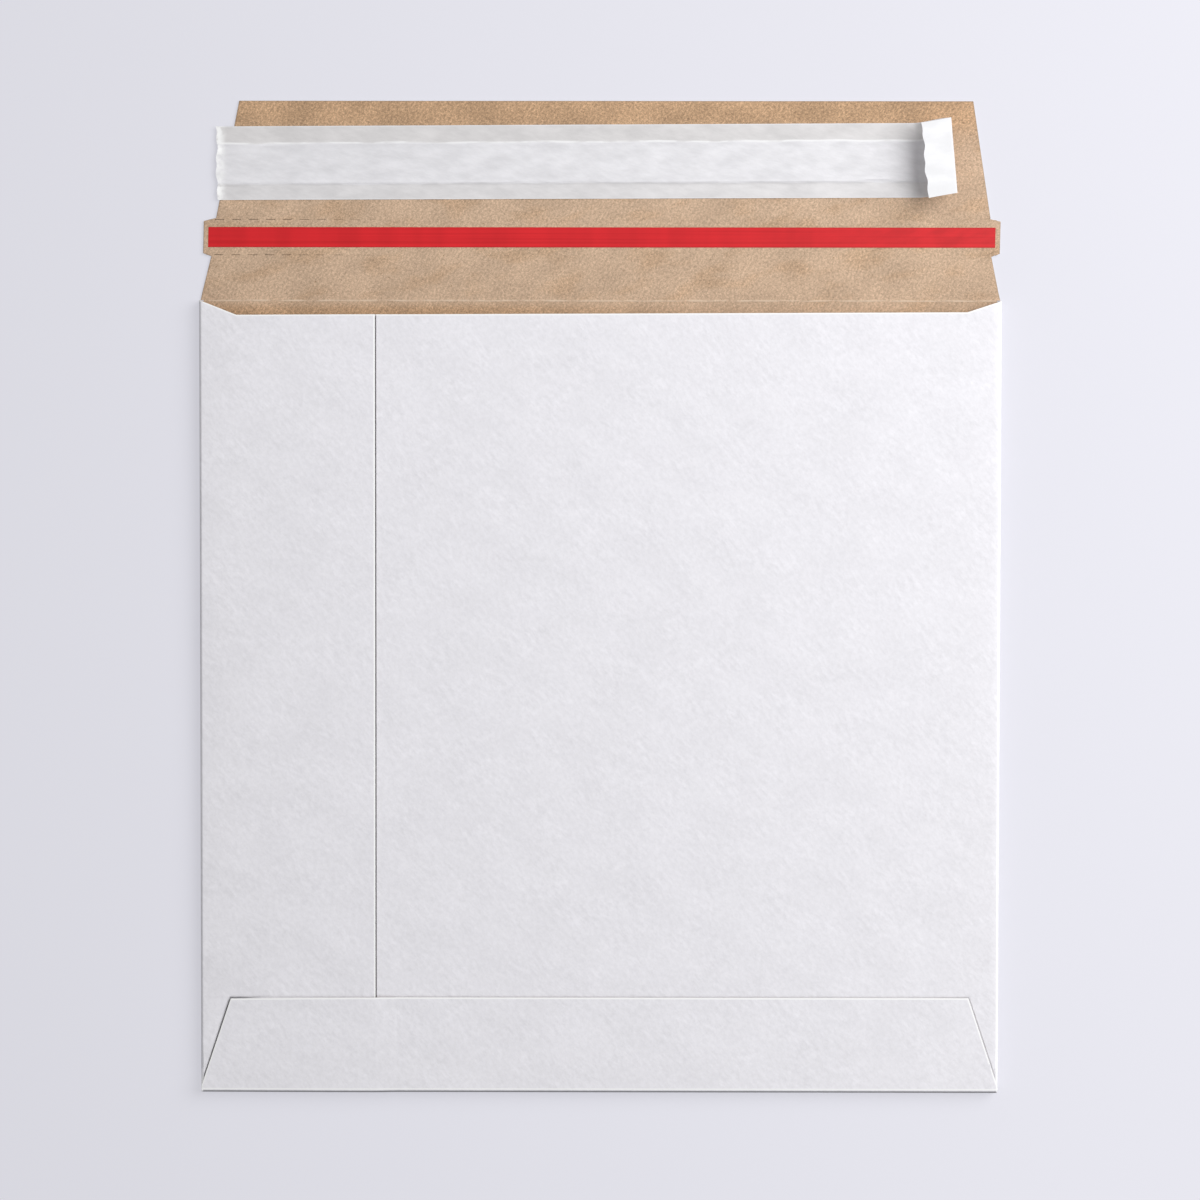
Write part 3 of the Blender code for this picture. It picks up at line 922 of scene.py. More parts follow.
@dataclass
class Pocket:
    """The board up to the flap's crease: panels, side folds, seam and bottom flap."""

    layout: Layout
    board: Board
    depth: float = 0.0046
    left_panel_width: float = 0.0702
    seam_overlap: float = 0.017
    mouth_drop: float = 0.0053
    mouth_skew: float = 0.0007
    left_corner: float = 0.0149
    right_corner: float = 0.0137
    flap_height: float = 0.0384
    flap_straight: float = 0.0016
    flap_side_gap: float = 0.0003
    flap_slant: float = 0.0118
    seam_drape: float = 0.008
    groove_width: float = 0.0007
    groove_depth: float = 0.0006
    groove_cover: float = 0.0012
    groove_floor: float = 0.0002
    faint_groove: float = 0.3
    slant_groove: float = 0.45
    soft_groove: float = 0.4
    soft_spread: float = 2.5
    flap_droop: float = 0.0006
    droop_start: float = 0.08
    droop_full: float = 0.148
    shoulder_width: float = 0.0045
    shoulder_drop: float = 0.00035
    shoulder_step: float = 0.0012
    # Painted highlight on the right shoulder and bottom fold, painted shade on the left fold, and the
    # reaches of the bottom fold's painted highlight and shade
    soft_highlight: float = 0.6
    left_fold_shade: float = -0.35
    highlight_reach: float = 0.5
    shade_reach: float = 0.62
    wave_height: float = 0.00012
    wave_size: float = 0.09
    grid_step: float = 0.009
    plain_half_width: float = 0.144

    @property
    def flat_x(self) -> float:
        """Half of the rear panel's flat width."""
        return self.layout.half_width - self.board.thickness / 2 - self.board.fold_radius

    @property
    def front_level(self) -> float:
        """Middle of the right front panel."""
        return self.board.thickness * 1.5 + self.depth

    @property
    def flap_level(self) -> float:
        """Middle of the bottom flap where it lies on the right panel."""
        return self.front_level + self.board.layer

    @property
    def root_y(self) -> float:
        """Where the rear panel turns into the bottom fold."""
        return self.layout.bottom_y + self.board.thickness / 2 + self.board.fold_radius

    @property
    def rear_top(self) -> float:
        """Upper end of the side walls."""
        return self.layout.crease_y - self.board.clearance / 2

    @property
    def mouth_y(self) -> float:
        """Upper edge of the front panels."""
        return self.rear_top - self.mouth_drop

    @property
    def wall(self) -> float:
        """Straight height of a side wall."""
        return self.front_level - self.board.rear_level - 2.0 * self.board.fold_radius

    @property
    def upper_fold(self) -> float:
        """Flat reach at which a side wall turns into its front panel."""
        return self.flat_x + self.board.bend + self.wall

    @property
    def panel_start(self) -> float:
        """Flat reach at which a front panel begins."""
        return self.upper_fold + self.board.bend

    @property
    def seam_x(self) -> float:
        """Free edge of the left panel, which lies on the right one."""
        return self.left_panel_width - self.layout.half_width

    @property
    def lap_x(self) -> float:
        """Hidden edge of the right panel."""
        return self.seam_x - self.seam_overlap

    @property
    def flap_side_x(self) -> float:
        """Half width of the bottom flap at its fold."""
        return self.layout.half_width - self.flap_side_gap

    @property
    def flap_top_y(self) -> float:
        """Free edge of the bottom flap."""
        return self.layout.bottom_y + self.flap_height

    @property
    def flap_wall(self) -> float:
        """Straight height of the bottom fold."""
        return self.flap_level - self.board.rear_level - 2.0 * self.board.fold_radius

    @property
    def flap_flat_start(self) -> float:
        """Flat Y at which the bottom flap itself begins, past its two folds."""
        return self.root_y - 2.0 * self.board.bend - self.flap_wall

    def reach_at(self, x: float) -> float:
        """Flat reach of a place on the right front panel."""
        return self.panel_start + self.flat_x - x

    def corner_reach(self, side: float) -> float:
        """Flat reach at which the mouth's slanted corner meets its level edge, -1 for left."""
        inset = self.left_corner if side < 0.0 else self.right_corner
        return self.reach_at(self.layout.half_width - inset)

    def mouth_at(self, u: float) -> float:
        """Upper edge of a front panel: level, with a slanted corner at the side fold."""
        corner = self.corner_reach(u)
        return self.rear_top - self.mouth_drop * share_of(abs(u), self.upper_fold, corner)

    def flap_side_at(self, y: float) -> float:
        """Half width of the bottom flap where it lies on the front panels."""
        start = self.root_y + self.flap_straight
        return self.flap_side_x - self.flap_slant * share_of(y, start, self.flap_top_y)

    def beyond_flap(self, x: float, y: float) -> float:
        """How far a place on the front panels lies outside the bottom flap."""
        run = self.flap_top_y - self.root_y - self.flap_straight
        lean = math.cos(math.atan2(self.flap_slant, run))
        return max(y - self.flap_top_y, (abs(x) - self.flap_side_at(y)) * lean)

    def cut_blank(self) -> Sheet:
        """Score and cut the flat blank, and note its flat places."""
        left = -(self.panel_start + self.flat_x + self.seam_x)
        right = self.reach_at(self.lap_x)
        near = self.flap_flat_start - (self.flap_top_y - self.root_y)
        blank = Sheet(left, right, near, self.rear_top, self.board.rear_level)
        blank.score_rows([self.root_y, self.mouth_y])
        blank.score_columns([-self.upper_fold, -self.flat_x, self.flat_x, self.upper_fold])
        self.trim_bottom(blank)
        self.trim_mouth(blank)
        self.score_folds(blank)
        self.score_panels(blank)
        blank.note_flat()
        return blank

    def trim_bottom(self, blank: Sheet) -> None:
        """Cut the bottom flap's sides, which spread round its fold and then slant in."""
        spread = self.root_y - self.board.bend
        slant = self.flap_flat_start - self.flap_straight
        end = self.flap_flat_start - (self.flap_top_y - self.root_y)
        blank.trim_sides(
            [
                (self.flap_side_x - self.flap_slant, end),
                (self.flap_side_x, slant),
                (self.flap_side_x, spread),
                (self.flat_x, self.root_y),
            ],
            self.board.rim_band,
        )
        blank.score_rows([end + self.board.rim_band])

    def trim_mouth(self, blank: Sheet) -> None:
        """Cut the mouth's level edge and its slanted corners, and part the flap's sheet."""
        band = self.board.rim_band
        beside = [self.rear_top - band, self.mouth_y - band]
        blank.score_rows(beside, lambda centre: abs(centre.x) > self.flat_x)
        for side in (-1.0, 1.0):
            corner = self.corner_reach(side)
            slope = self.mouth_drop / (corner - self.upper_fold)
            start = Vector((side * self.upper_fold, self.rear_top, 0.0))
            normal = Vector((side * slope, 1.0, 0.0)).normalized()
            blank.score_columns([side * corner])
            for foot in (start, start - normal * band):
                blank.score(
                    foot,
                    normal,
                    lambda centre, side=side, corner=corner: (
                        self.upper_fold < side * centre.x < corner
                    ),
                )
        blank.score_rows([self.layout.joint_y], lambda centre: abs(centre.x) < self.flat_x)
        blank.drop(
            lambda centre: abs(centre.x) > self.upper_fold
            and centre.y > self.mouth_at(centre.x)
        )
        blank.drop(
            lambda centre: abs(centre.x) < self.flat_x and centre.y > self.layout.joint_y
        )

    def score_folds(self, blank: Sheet) -> None:
        """Add the lines that the folds bend along."""
        for step in range(self.board.fold_steps + 1):
            shift = step * self.board.chord
            for side in (-1.0, 1.0):
                blank.score_columns(
                    [side * (self.flat_x + shift), side * (self.upper_fold + shift)],
                    lambda centre: centre.y > self.root_y,
                )
            upper = self.flap_flat_start + self.board.bend - shift
            blank.score_rows([self.root_y - shift, upper], lambda centre: centre.y < self.root_y)
        start, band = self.flap_flat_start, self.board.rim_band
        blank.score_rows([start - band / 2, start - band])

    def score_panels(self, blank: Sheet) -> None:
        """Divide the flat stretches evenly."""
        plain = self.plain_half_width
        blank.score_columns([-plain, *spaced(-plain, plain, self.grid_step), plain])
        rows = spaced(self.root_y, self.mouth_y, self.grid_step)
        blank.score_rows(rows)
        start = self.flap_flat_start
        end = start - (self.flap_top_y - self.root_y)
        blank.score_rows(spaced(start - self.flap_straight, end, self.grid_step))
        for side, last_x in ((-1.0, -self.seam_x), (1.0, self.lap_x)):
            first = self.reach_at(plain)
            last = self.panel_start + self.flat_x - last_x
            reaches = [first, *spaced(first, last, self.grid_step), last - self.board.rim_band]
            blank.score_columns(
                [side * reach for reach in reaches],
                lambda centre: abs(centre.x) > self.panel_start,
            )

    def fold_blank(self, blank: Sheet) -> None:
        """Fold the side arms and the bottom flap up over the rear panel."""
        level = self.board.rear_level
        for arm in (Arm.LEFT, Arm.RIGHT):
            blank.fold_up(arm, self.upper_fold, self.board, level, self.root_y)
            blank.fold_up(arm, self.flat_x, self.board, level, self.root_y)
        upper = self.board.bend - self.flap_flat_start
        blank.fold_up(Arm.BOTTOM, upper - 2.0 * self.board.bend, self.board, level, self.root_y)
        blank.fold_up(Arm.BOTTOM, -self.root_y, self.board, level, self.root_y)

    def score_details(self, blank: Sheet) -> None:
        """Add the lines that the grooves, the seam and the soft shoulder bend along."""
        width = self.groove_width
        offsets = (-self.groove_cover, 0.0, self.groove_floor, width / 2, width, width * 2.0)
        mid = (self.front_level + self.flap_level) / 2

        def on_panels(centre: Vector) -> bool:
            return self.front_level - EXACT < centre.z < mid

        def on_top(centre: Vector) -> bool:
            return centre.z > self.front_level - EXACT

        for offset in offsets:
            blank.score_columns([self.seam_x + offset], on_panels)
            blank.score_rows([self.flap_top_y + offset], on_panels)
        run = self.flap_top_y - self.root_y - self.flap_straight
        slope = self.flap_slant / run
        for side in (-1.0, 1.0):
            normal = Vector((side, slope, 0.0)).normalized()
            foot = Vector((side * self.flap_side_x, self.root_y + self.flap_straight, 0.0))
            for offset in offsets:
                blank.score(
                    foot + normal * offset,
                    normal,
                    lambda centre, side=side: on_panels(centre)
                    and side * centre.x > self.plain_half_width
                    and centre.y < self.flap_top_y + self.groove_width * 2.0,
                )
        drape = self.seam_x + self.board.clearance
        blank.score_columns([self.lap_x, drape, drape + self.seam_drape], on_top)
        shoulder = self.layout.half_width - self.shoulder_width
        blank.score_columns([shoulder, *spaced(shoulder, self.flat_x, self.shoulder_step)], on_top)

    def left_lift(self, x: float) -> float:
        """Rise of the left panel as it slopes up to lie on the right one."""
        return self.board.layer * share_of(x, -self.flat_x, self.lap_x)

    def cover_lift(self, x: float) -> float:
        """Rise of the bottom flap over the left panel, coming down beside the seam."""
        start = self.seam_x + self.board.clearance
        return self.left_lift(x) * (1.0 - eased(x, start, start + self.seam_drape))

    def groove(self, outside: float) -> float:
        """Depth of the groove dented into the panel at a distance outside an edge that lies on it."""
        covered = share_of(outside, -self.groove_cover, 0.0)
        bank = 1.0 - share_of(outside, self.groove_floor, self.groove_width)
        return self.groove_depth * covered * bank

    def flap_groove(self, x: float, y: float) -> float:
        """Depth of the groove dented round the bottom flap, deep beside its left end only."""
        beyond = self.beyond_flap(x, y)
        if abs(x) < self.plain_half_width or y > self.flap_top_y:
            return self.groove(beyond) * self.faint_groove
        if x > 0.0:
            return self.groove(beyond) * self.slant_groove
        upper = eased(y, self.root_y + self.flap_straight, self.flap_top_y)
        soft = self.groove(beyond / self.soft_spread) * self.soft_groove
        return max(self.groove(beyond), soft * upper)

    def wear(self, place: Vector, u: float, v: float, on_rim: bool) -> float:
        """How much painted light a place on the folded blank gets.

        Args:
            place: The place.
            u: Its flat X.
            v: Its flat Y.
            on_rim: Whether it lies on a cut edge.

        Returns:
            1 for a painted highlight on a rim or pale fold, 0 on the plain board, and -1 for a dark line of
            painted shade.
        """
        if self.stays_sharp(u, v):
            return 0.0
        # Painted highlight along every rounded rim
        if on_rim:
            return 1.0
        if v < self.root_y - EXACT:
            return self.bottom_fold_light(v)
        if abs(u) < self.panel_start - EXACT:
            return self.side_fold_light(u)
        # Painted highlight on the right shoulder, where the board curves over
        if u > 0.0 and self.layout.half_width - place.x < self.shoulder_width / 7:
            return self.soft_highlight
        # Painted shade in the grooves beside the seam and round the bottom flap, by the groove's depth
        depth = self.flap_groove(place.x, place.y)
        if u > 0.0:
            depth = max(depth, self.groove(place.x - self.seam_x))
        return -depth / self.groove_depth

    def side_fold_light(self, u: float) -> float:
        """Painted light round the side folds: a painted highlight on the right one, a little painted shade
        on the left one.
        """
        turned = (abs(u) - self.upper_fold) / self.board.bend
        if turned < 0.1:
            return 0.0
        return 1.0 if u > 0.0 else self.left_fold_shade

    def bottom_fold_light(self, v: float) -> float:
        """Painted light round the bottom fold: a painted highlight on top, then a dark line of painted shade
        along the fold.
        """
        turned = (v - self.flap_flat_start) / self.board.bend
        if not -self.highlight_reach < turned < self.shade_reach:
            return 0.0
        return self.soft_highlight if turned < -EXACT else -eased(turned, 0.03, 0.3)

    def shoulder(self, x: float) -> float:
        """Fall of the front towards the right side fold, where the board curves over."""
        near = 1.0 - share_of(self.layout.half_width - x, 0.0, self.shoulder_width)
        return self.shoulder_drop * near * near

    def settle(self, place: Vector, u: float, v: float) -> Vector:
        """Bring one point of the folded blank to its final height.

        Args:
            place: Its place after folding.
            u: Its flat X.
            v: Its flat Y.

        Returns:
            Its final place.
        """
        low = self.board.rear_level + self.board.fold_radius
        high = self.front_level - self.board.fold_radius
        rise = share_of(place.z, low, high)
        height = 0.0
        if v < self.root_y - EXACT:
            height += self.cover_lift(place.x)
            free = share_of(self.flap_flat_start - v, 0.0, self.flap_top_y - self.root_y)
            left = share_of(-place.x, self.droop_start, self.droop_full)
            place.y -= self.flap_droop * left**2 * free
        elif u < -self.panel_start:
            height += self.left_lift(place.x) - self.flap_groove(place.x, place.y)
        elif u > self.panel_start:
            seam = self.groove(place.x - self.seam_x)
            height -= max(seam, self.flap_groove(place.x, place.y))
        height -= self.shoulder(place.x)
        height += self.wave_height * ripple(place.x, place.y, self.wave_size, 3.0)
        if v > self.root_y and abs(u) > self.panel_start:
            near_mouth = share_of(place.y, 0.0, self.mouth_y)
            near_mouth *= share_of(abs(u), self.panel_start, self.corner_reach(u))
            place.y += self.mouth_skew * place.x / self.layout.half_width * near_mouth
        return place + UP * height * rise

    def keep_inside(self, place: Vector, _u: float, _v: float) -> Vector:
        """Keep a rounded rim's points within the envelope's width."""
        half = self.layout.half_width
        return Vector((max(-half, min(half, place.x)), place.y, place.z))

    def stays_sharp(self, u: float, v: float) -> bool:
        """Whether a rim is a joint with the flap's sheet, which shows no edge."""
        across = abs(v - self.layout.joint_y) < EXACT and abs(u) < self.flat_x + EXACT
        beside = abs(abs(u) - self.flat_x) < EXACT and v > self.layout.joint_y - EXACT
        return across or beside

    def build(self, finishes: Sequence[bpy.types.Material]) -> bpy.types.Object:
        """Make the pocket's object, with its materials in the order of Face."""
        blank = self.cut_blank()
        self.fold_blank(blank)
        self.score_details(blank)
        blank.note_painted_light(self.wear)
        blank.shape(self.settle)
        blank.thicken(self.board.thickness)
        blank.round_rims(self.board, self.stays_sharp)
        blank.shape(self.keep_inside)
        pocket = blank.to_object("folded_pocket", finishes)
        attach(pocket, "pocket")
        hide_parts("pocket_board")
        return pocket


@dataclass
class ClosingFlap:
    """The open closing flap, with its tear strip's tabs and perforations."""

    layout: Layout
    board: Board
    end_inset: float = 0.0138
    tab_inset: float = 0.0007
    lean: float = 0.0245
    end_trim: float = 0.0004
    right_spread: float = 0.0008
    spread_start: float = 0.136
    spread_full: float = 0.146
    tear_low: float = 0.0182
    tear_high: float = 0.0323
    tab_slant: float = 0.0012
    low_notch: float = 0.0040
    high_notch: float = 0.0056
    slit_length: float = 0.0036
    slit_width: float = 0.0002
    slit_closed: float = 0.12
    slit_base: float = 0.04
    gape_length: float = 0.030
    gape_end: float = 0.075
    slit_band: float = 0.0002
    slit_pitch: float = 0.0068
    slit_margin: float = 0.002
    slit_row_half: float = 0.0012
    crease_reach: float = 0.004
    crease_step: float = 0.0004
    crease_ridge: float = 0.00012
    ridge_half: float = 0.0006
    wave_height: float = 0.00022
    wave_size: float = 0.055
    grid_step: float = 0.006
    plain_half_width: float = 0.144

    @property
    def flat_x(self) -> float:
        """Half width of the stretch that reaches into the pocket."""
        return self.layout.half_width - self.board.thickness / 2 - self.board.fold_radius

    @property
    def length(self) -> float:
        """Crease to free end."""
        return self.layout.flap_end_y - self.end_trim - self.layout.crease_y

    @property
    def top(self) -> float:
        """Height of the kraft face."""
        return self.board.thickness

    def side_at(self, above: float) -> float:
        """Half width above the tear strip, at a distance above the crease."""
        low = self.tear_high + self.tab_slant / 2
        share = (above - low) / (self.length - low)
        start = self.layout.half_width - self.high_notch
        return start + (self.layout.half_width - self.end_inset - start) * share

    def outline(self) -> list[tuple[float, float]]:
        """Corners of the right side, from inside the pocket to the free end."""
        full = self.layout.half_width
        slant = self.tab_slant / 2
        base = self.board.clearance / 2
        corners = [
            (self.flat_x, -self.layout.joint_back),
            (self.flat_x, base),
            (full, base),
            (full - self.low_notch, self.tear_low - slant),
            (full - self.tab_inset, self.tear_low + slant),
            (full - self.tab_inset, self.tear_high - slant),
            (full - self.high_notch, self.tear_high + slant),
            (full - self.end_inset, self.length),
        ]
        return [(x, self.layout.crease_y + above) for x, above in corners]

    def slit_middles(self) -> list[float]:
        """Middles of the perforations along one row."""
        side = self.layout.half_width - self.high_notch / 2
        room = 2.0 * (side - self.slit_margin)
        count = int((room + self.slit_pitch - self.slit_length) / self.slit_pitch)
        return [(index - (count - 1) / 2) * self.slit_pitch for index in range(count)]

    def cut_slits(self, sheet: Sheet) -> None:
        """Cut the two rows of perforations."""
        half_length = self.slit_length / 2
        band = self.slit_band
        ends = []
        for middle in self.slit_middles():
            for offset in (half_length, half_length + band):
                ends += [middle - offset, middle + offset]
        for row in (self.tear_low, self.tear_high):
            y = self.layout.crease_y + row
            half = self.slit_width / 2
            for offset in (half, half + band, self.slit_row_half):
                sheet.score_rows([y - offset, y + offset])
            sheet.score_columns(
                ends, lambda centre, y=y: abs(centre.y - y) < self.slit_row_half
            )
            sheet.drop(lambda centre, y=y: self.in_slit(centre, y))

    def in_slit(self, centre: Vector, row_y: float) -> bool:
        """Whether a face's centre lies in a perforation."""
        if abs(centre.y - row_y) > self.slit_width / 2:
            return False
        middles = self.slit_middles()
        return any(abs(centre.x - middle) < self.slit_length / 2 for middle in middles)

    def lift(self, x: float, y: float) -> float:
        """Rise of the flap off the surface that it lies on."""
        above = y - self.layout.crease_y
        free = eased(above, self.crease_reach, self.crease_reach * 4.0)
        wave = 0.5 + 0.5 * ripple(x, y, self.wave_size, 7.0)
        return self.wave_height * free * max(0.0, wave)

    def sway(self, y: float) -> float:
        """How far right of its straight place the leaning flap stands."""
        return self.lean * max(0.0, y - self.layout.crease_y - self.crease_reach)

    def settle(self, place: Vector, u: float, v: float) -> Vector:
        """Bring one point to its final height.

        Args:
            place: Its flat place.
            u: Its flat X.
            v: Its flat Y.

        Returns:
            Its final place.
        """
        off = abs(v - self.layout.crease_y)
        ridge = self.crease_ridge * (1.0 - eased(off, 0.0, self.ridge_half))
        for row in (self.tear_low, self.tear_high):
            out = place.y - self.layout.crease_y - row
            half = self.slit_width / 2
            fade = 1.0 - share_of(abs(out), half, half + self.slit_band)
            upper = place.z > self.board.thickness / 2
            gape = self.slit_open(u) if upper else self.slit_base
            closing = min(abs(out), half) * (1.0 - gape) * fade
            place.y -= math.copysign(closing, out)
        place.x += self.sway(place.y)
        if v > self.layout.crease_y + self.tear_high + self.tab_slant / 2 - EXACT:
            place.x += self.right_spread * share_of(u, self.spread_start, self.spread_full)
        return place + UP * (self.lift(u, v) + ridge)

    def slit_open(self, x: float) -> float:
        """How open the perforations are: their cuts gape at the left end only."""
        start = self.layout.half_width
        gape = 1.0 - eased(x, self.gape_length - start, self.gape_end - start)
        return self.slit_closed + (1.0 - self.slit_closed) * gape

    def wear(self, _place: Vector, u: float, v: float, on_rim: bool) -> float:
        """Painted highlight on the white side and painted shade on the kraft side: 1 on a cut edge to 0 off
        it, at the joint and in closed perforations.
        """
        if not on_rim or self.in_joint(v):
            return 0.0
        # Open perforations get part of the painted shade, closed ones none
        if self.at_slit(v) and abs(u) < self.layout.half_width - self.high_notch:
            return 0.8 * (self.slit_open(u) - self.slit_closed)
        return 1.0

    def at_slit(self, v: float) -> bool:
        """Whether a flat place lies on the edge of a perforation."""
        above = v - self.layout.crease_y
        reach = self.slit_width / 2 + EXACT
        return any(abs(above - row) < reach for row in (self.tear_low, self.tear_high))

    def in_joint(self, v: float) -> bool:
        """Whether a flat place is on the joint with the pocket's sheet."""
        return v < self.layout.crease_y + self.board.clearance / 2 - EXACT

    def stays_sharp(self, _u: float, v: float) -> bool:
        """Whether a rim shows no rounded edge: the joint and the perforations."""
        return self.in_joint(v) or self.at_slit(v)

    def build(self, finishes: Sequence[bpy.types.Material]) -> bpy.types.Object:
        """Make the flap.

        Args:
            finishes: Materials of the inside, the outside and the cut edge.

        Returns:
            The flap's object.
        """
        full = self.layout.half_width
        near, far = self.layout.joint_y, self.layout.crease_y + self.length
        sheet = Sheet(-full, full, near, far, self.board.rear_level)
        sheet.trim_sides(self.outline(), self.board.rim_band)
        sheet.score_rows([far - self.board.rim_band])
        crease = self.layout.crease_y
        reach = self.crease_reach
        sheet.score_rows(spaced(crease - reach, crease + reach, self.crease_step))
        sheet.score_rows([crease - reach, crease + reach])
        self.cut_slits(sheet)
        plain = self.plain_half_width
        sheet.score_columns(
            [-plain, *spaced(-plain, plain, self.grid_step), plain],
            lambda centre: not self.near_slits(centre),
        )
        sheet.score_rows(spaced(crease + self.tear_high + self.slit_margin, far, self.grid_step))
        sheet.note_flat()
        sheet.note_painted_light(self.wear)
        sheet.thicken(self.board.thickness)
        sheet.colour_cuts(lambda centre: self.at_slit(centre.y))
        sheet.round_rims(self.board, self.stays_sharp)
        sheet.shape(self.settle)
        flap = sheet.to_object("open_flap", finishes)
        start = Vector((0.0, crease - reach, 0.0))
        end = Vector((0.0, crease + reach, 0.0))
        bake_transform(flap, "pocket", "flap", start=start, end=end)
        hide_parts("closing_flap")
        return flap

    def near_slits(self, centre: Vector) -> bool:
        """Whether a face lies in a row of perforations."""
        above = centre.y - self.layout.crease_y
        rows = (self.tear_low, self.tear_high)
        return any(abs(above - row) < self.slit_row_half for row in rows)


@dataclass
class TearTape:
    """The red film along the middle of the tear strip."""

    flap: ClosingFlap
    width: float = 0.008
    thickness: float = 0.00012
    end_inset: float = 0.0027
    bond: float = 0.00002
    grid_step: float = 0.004
    row_step: float = 0.0016

    def build(self, finish: RedFilm) -> bpy.types.Object:
        """Make the tape's object."""
        middle = self.flap.layout.crease_y + (self.flap.tear_low + self.flap.tear_high) / 2
        half = self.flap.layout.half_width - self.end_inset
        level = self.flap.top + self.bond + self.thickness / 2
        near, far = middle - self.width / 2, middle + self.width / 2
        sheet = Sheet(-half, half, near, far, level)
        sheet.score_columns(spaced(-half, half, self.grid_step))
        sheet.score_rows(spaced(near, far, self.row_step))
        sheet.note_flat()
        sheet.thicken(self.thickness)
        sheet.shape(
            lambda place, u, v: place + Vector((self.flap.sway(v), 0.0, self.flap.lift(u, v)))
        )
        material = finish.make(middle, self.width)
        tape = sheet.to_object("red_tear_tape", [material] * len(Face))
        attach(tape, "flap")
        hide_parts("tear_tape")
        return tape


@dataclass
class AdhesiveBand:
    """The band of adhesive that the liner covers."""

    flap: ClosingFlap
    start: float = 0.0462
    width: float = 0.0169
    thickness: float = 0.0002
    left_inset: float = 0.0035
    right_inset: float = 0.018
    bond: float = 0.00002
    turn: float = 0.0049
    shy: float = 0.0007
    upper_trim: float = 0.0008
    grid_step: float = 0.006
    row_step: float = 0.0014

    @property
    def middle(self) -> float:
        """Middle line, above the crease."""
        return self.start + self.width / 2

    @property
    def top(self) -> float:
        """Height of its upper face."""
        return self.flap.top + self.bond + self.thickness

    @property
    def left_x(self) -> float:
        """Left end."""
        return self.left_inset - self.flap.side_at(self.start + self.width)

    def settle(self, place: Vector, u: float, v: float) -> Vector:
        """Bring one point to its final place on the slightly turned band."""
        place.y += self.turn * (u - self.left_x)
        place.x += self.flap.sway(v)
        return place + UP * self.flap.lift(u, v)

    def build(self, finish: ClosingGlue) -> bpy.types.Object:
        """Make the band's object."""
        near = self.flap.layout.crease_y + self.start + self.shy
        far = near + self.width - self.upper_trim - 2.0 * self.shy
        left = self.left_x
        right = self.flap.side_at(self.start + self.width) - self.right_inset
        level = self.flap.top + self.bond + self.thickness / 2
        sheet = Sheet(left, right, near, far, level)
        sheet.score_columns(spaced(left, right, self.grid_step))
        sheet.score_rows(spaced(near, far, self.row_step))
        sheet.note_flat()
        sheet.thicken(self.thickness)
        sheet.shape(self.settle)
        band = sheet.to_object("adhesive_band", [finish.make()] * len(Face))
        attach(band, "flap")
        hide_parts("adhesive_strip")
        return band


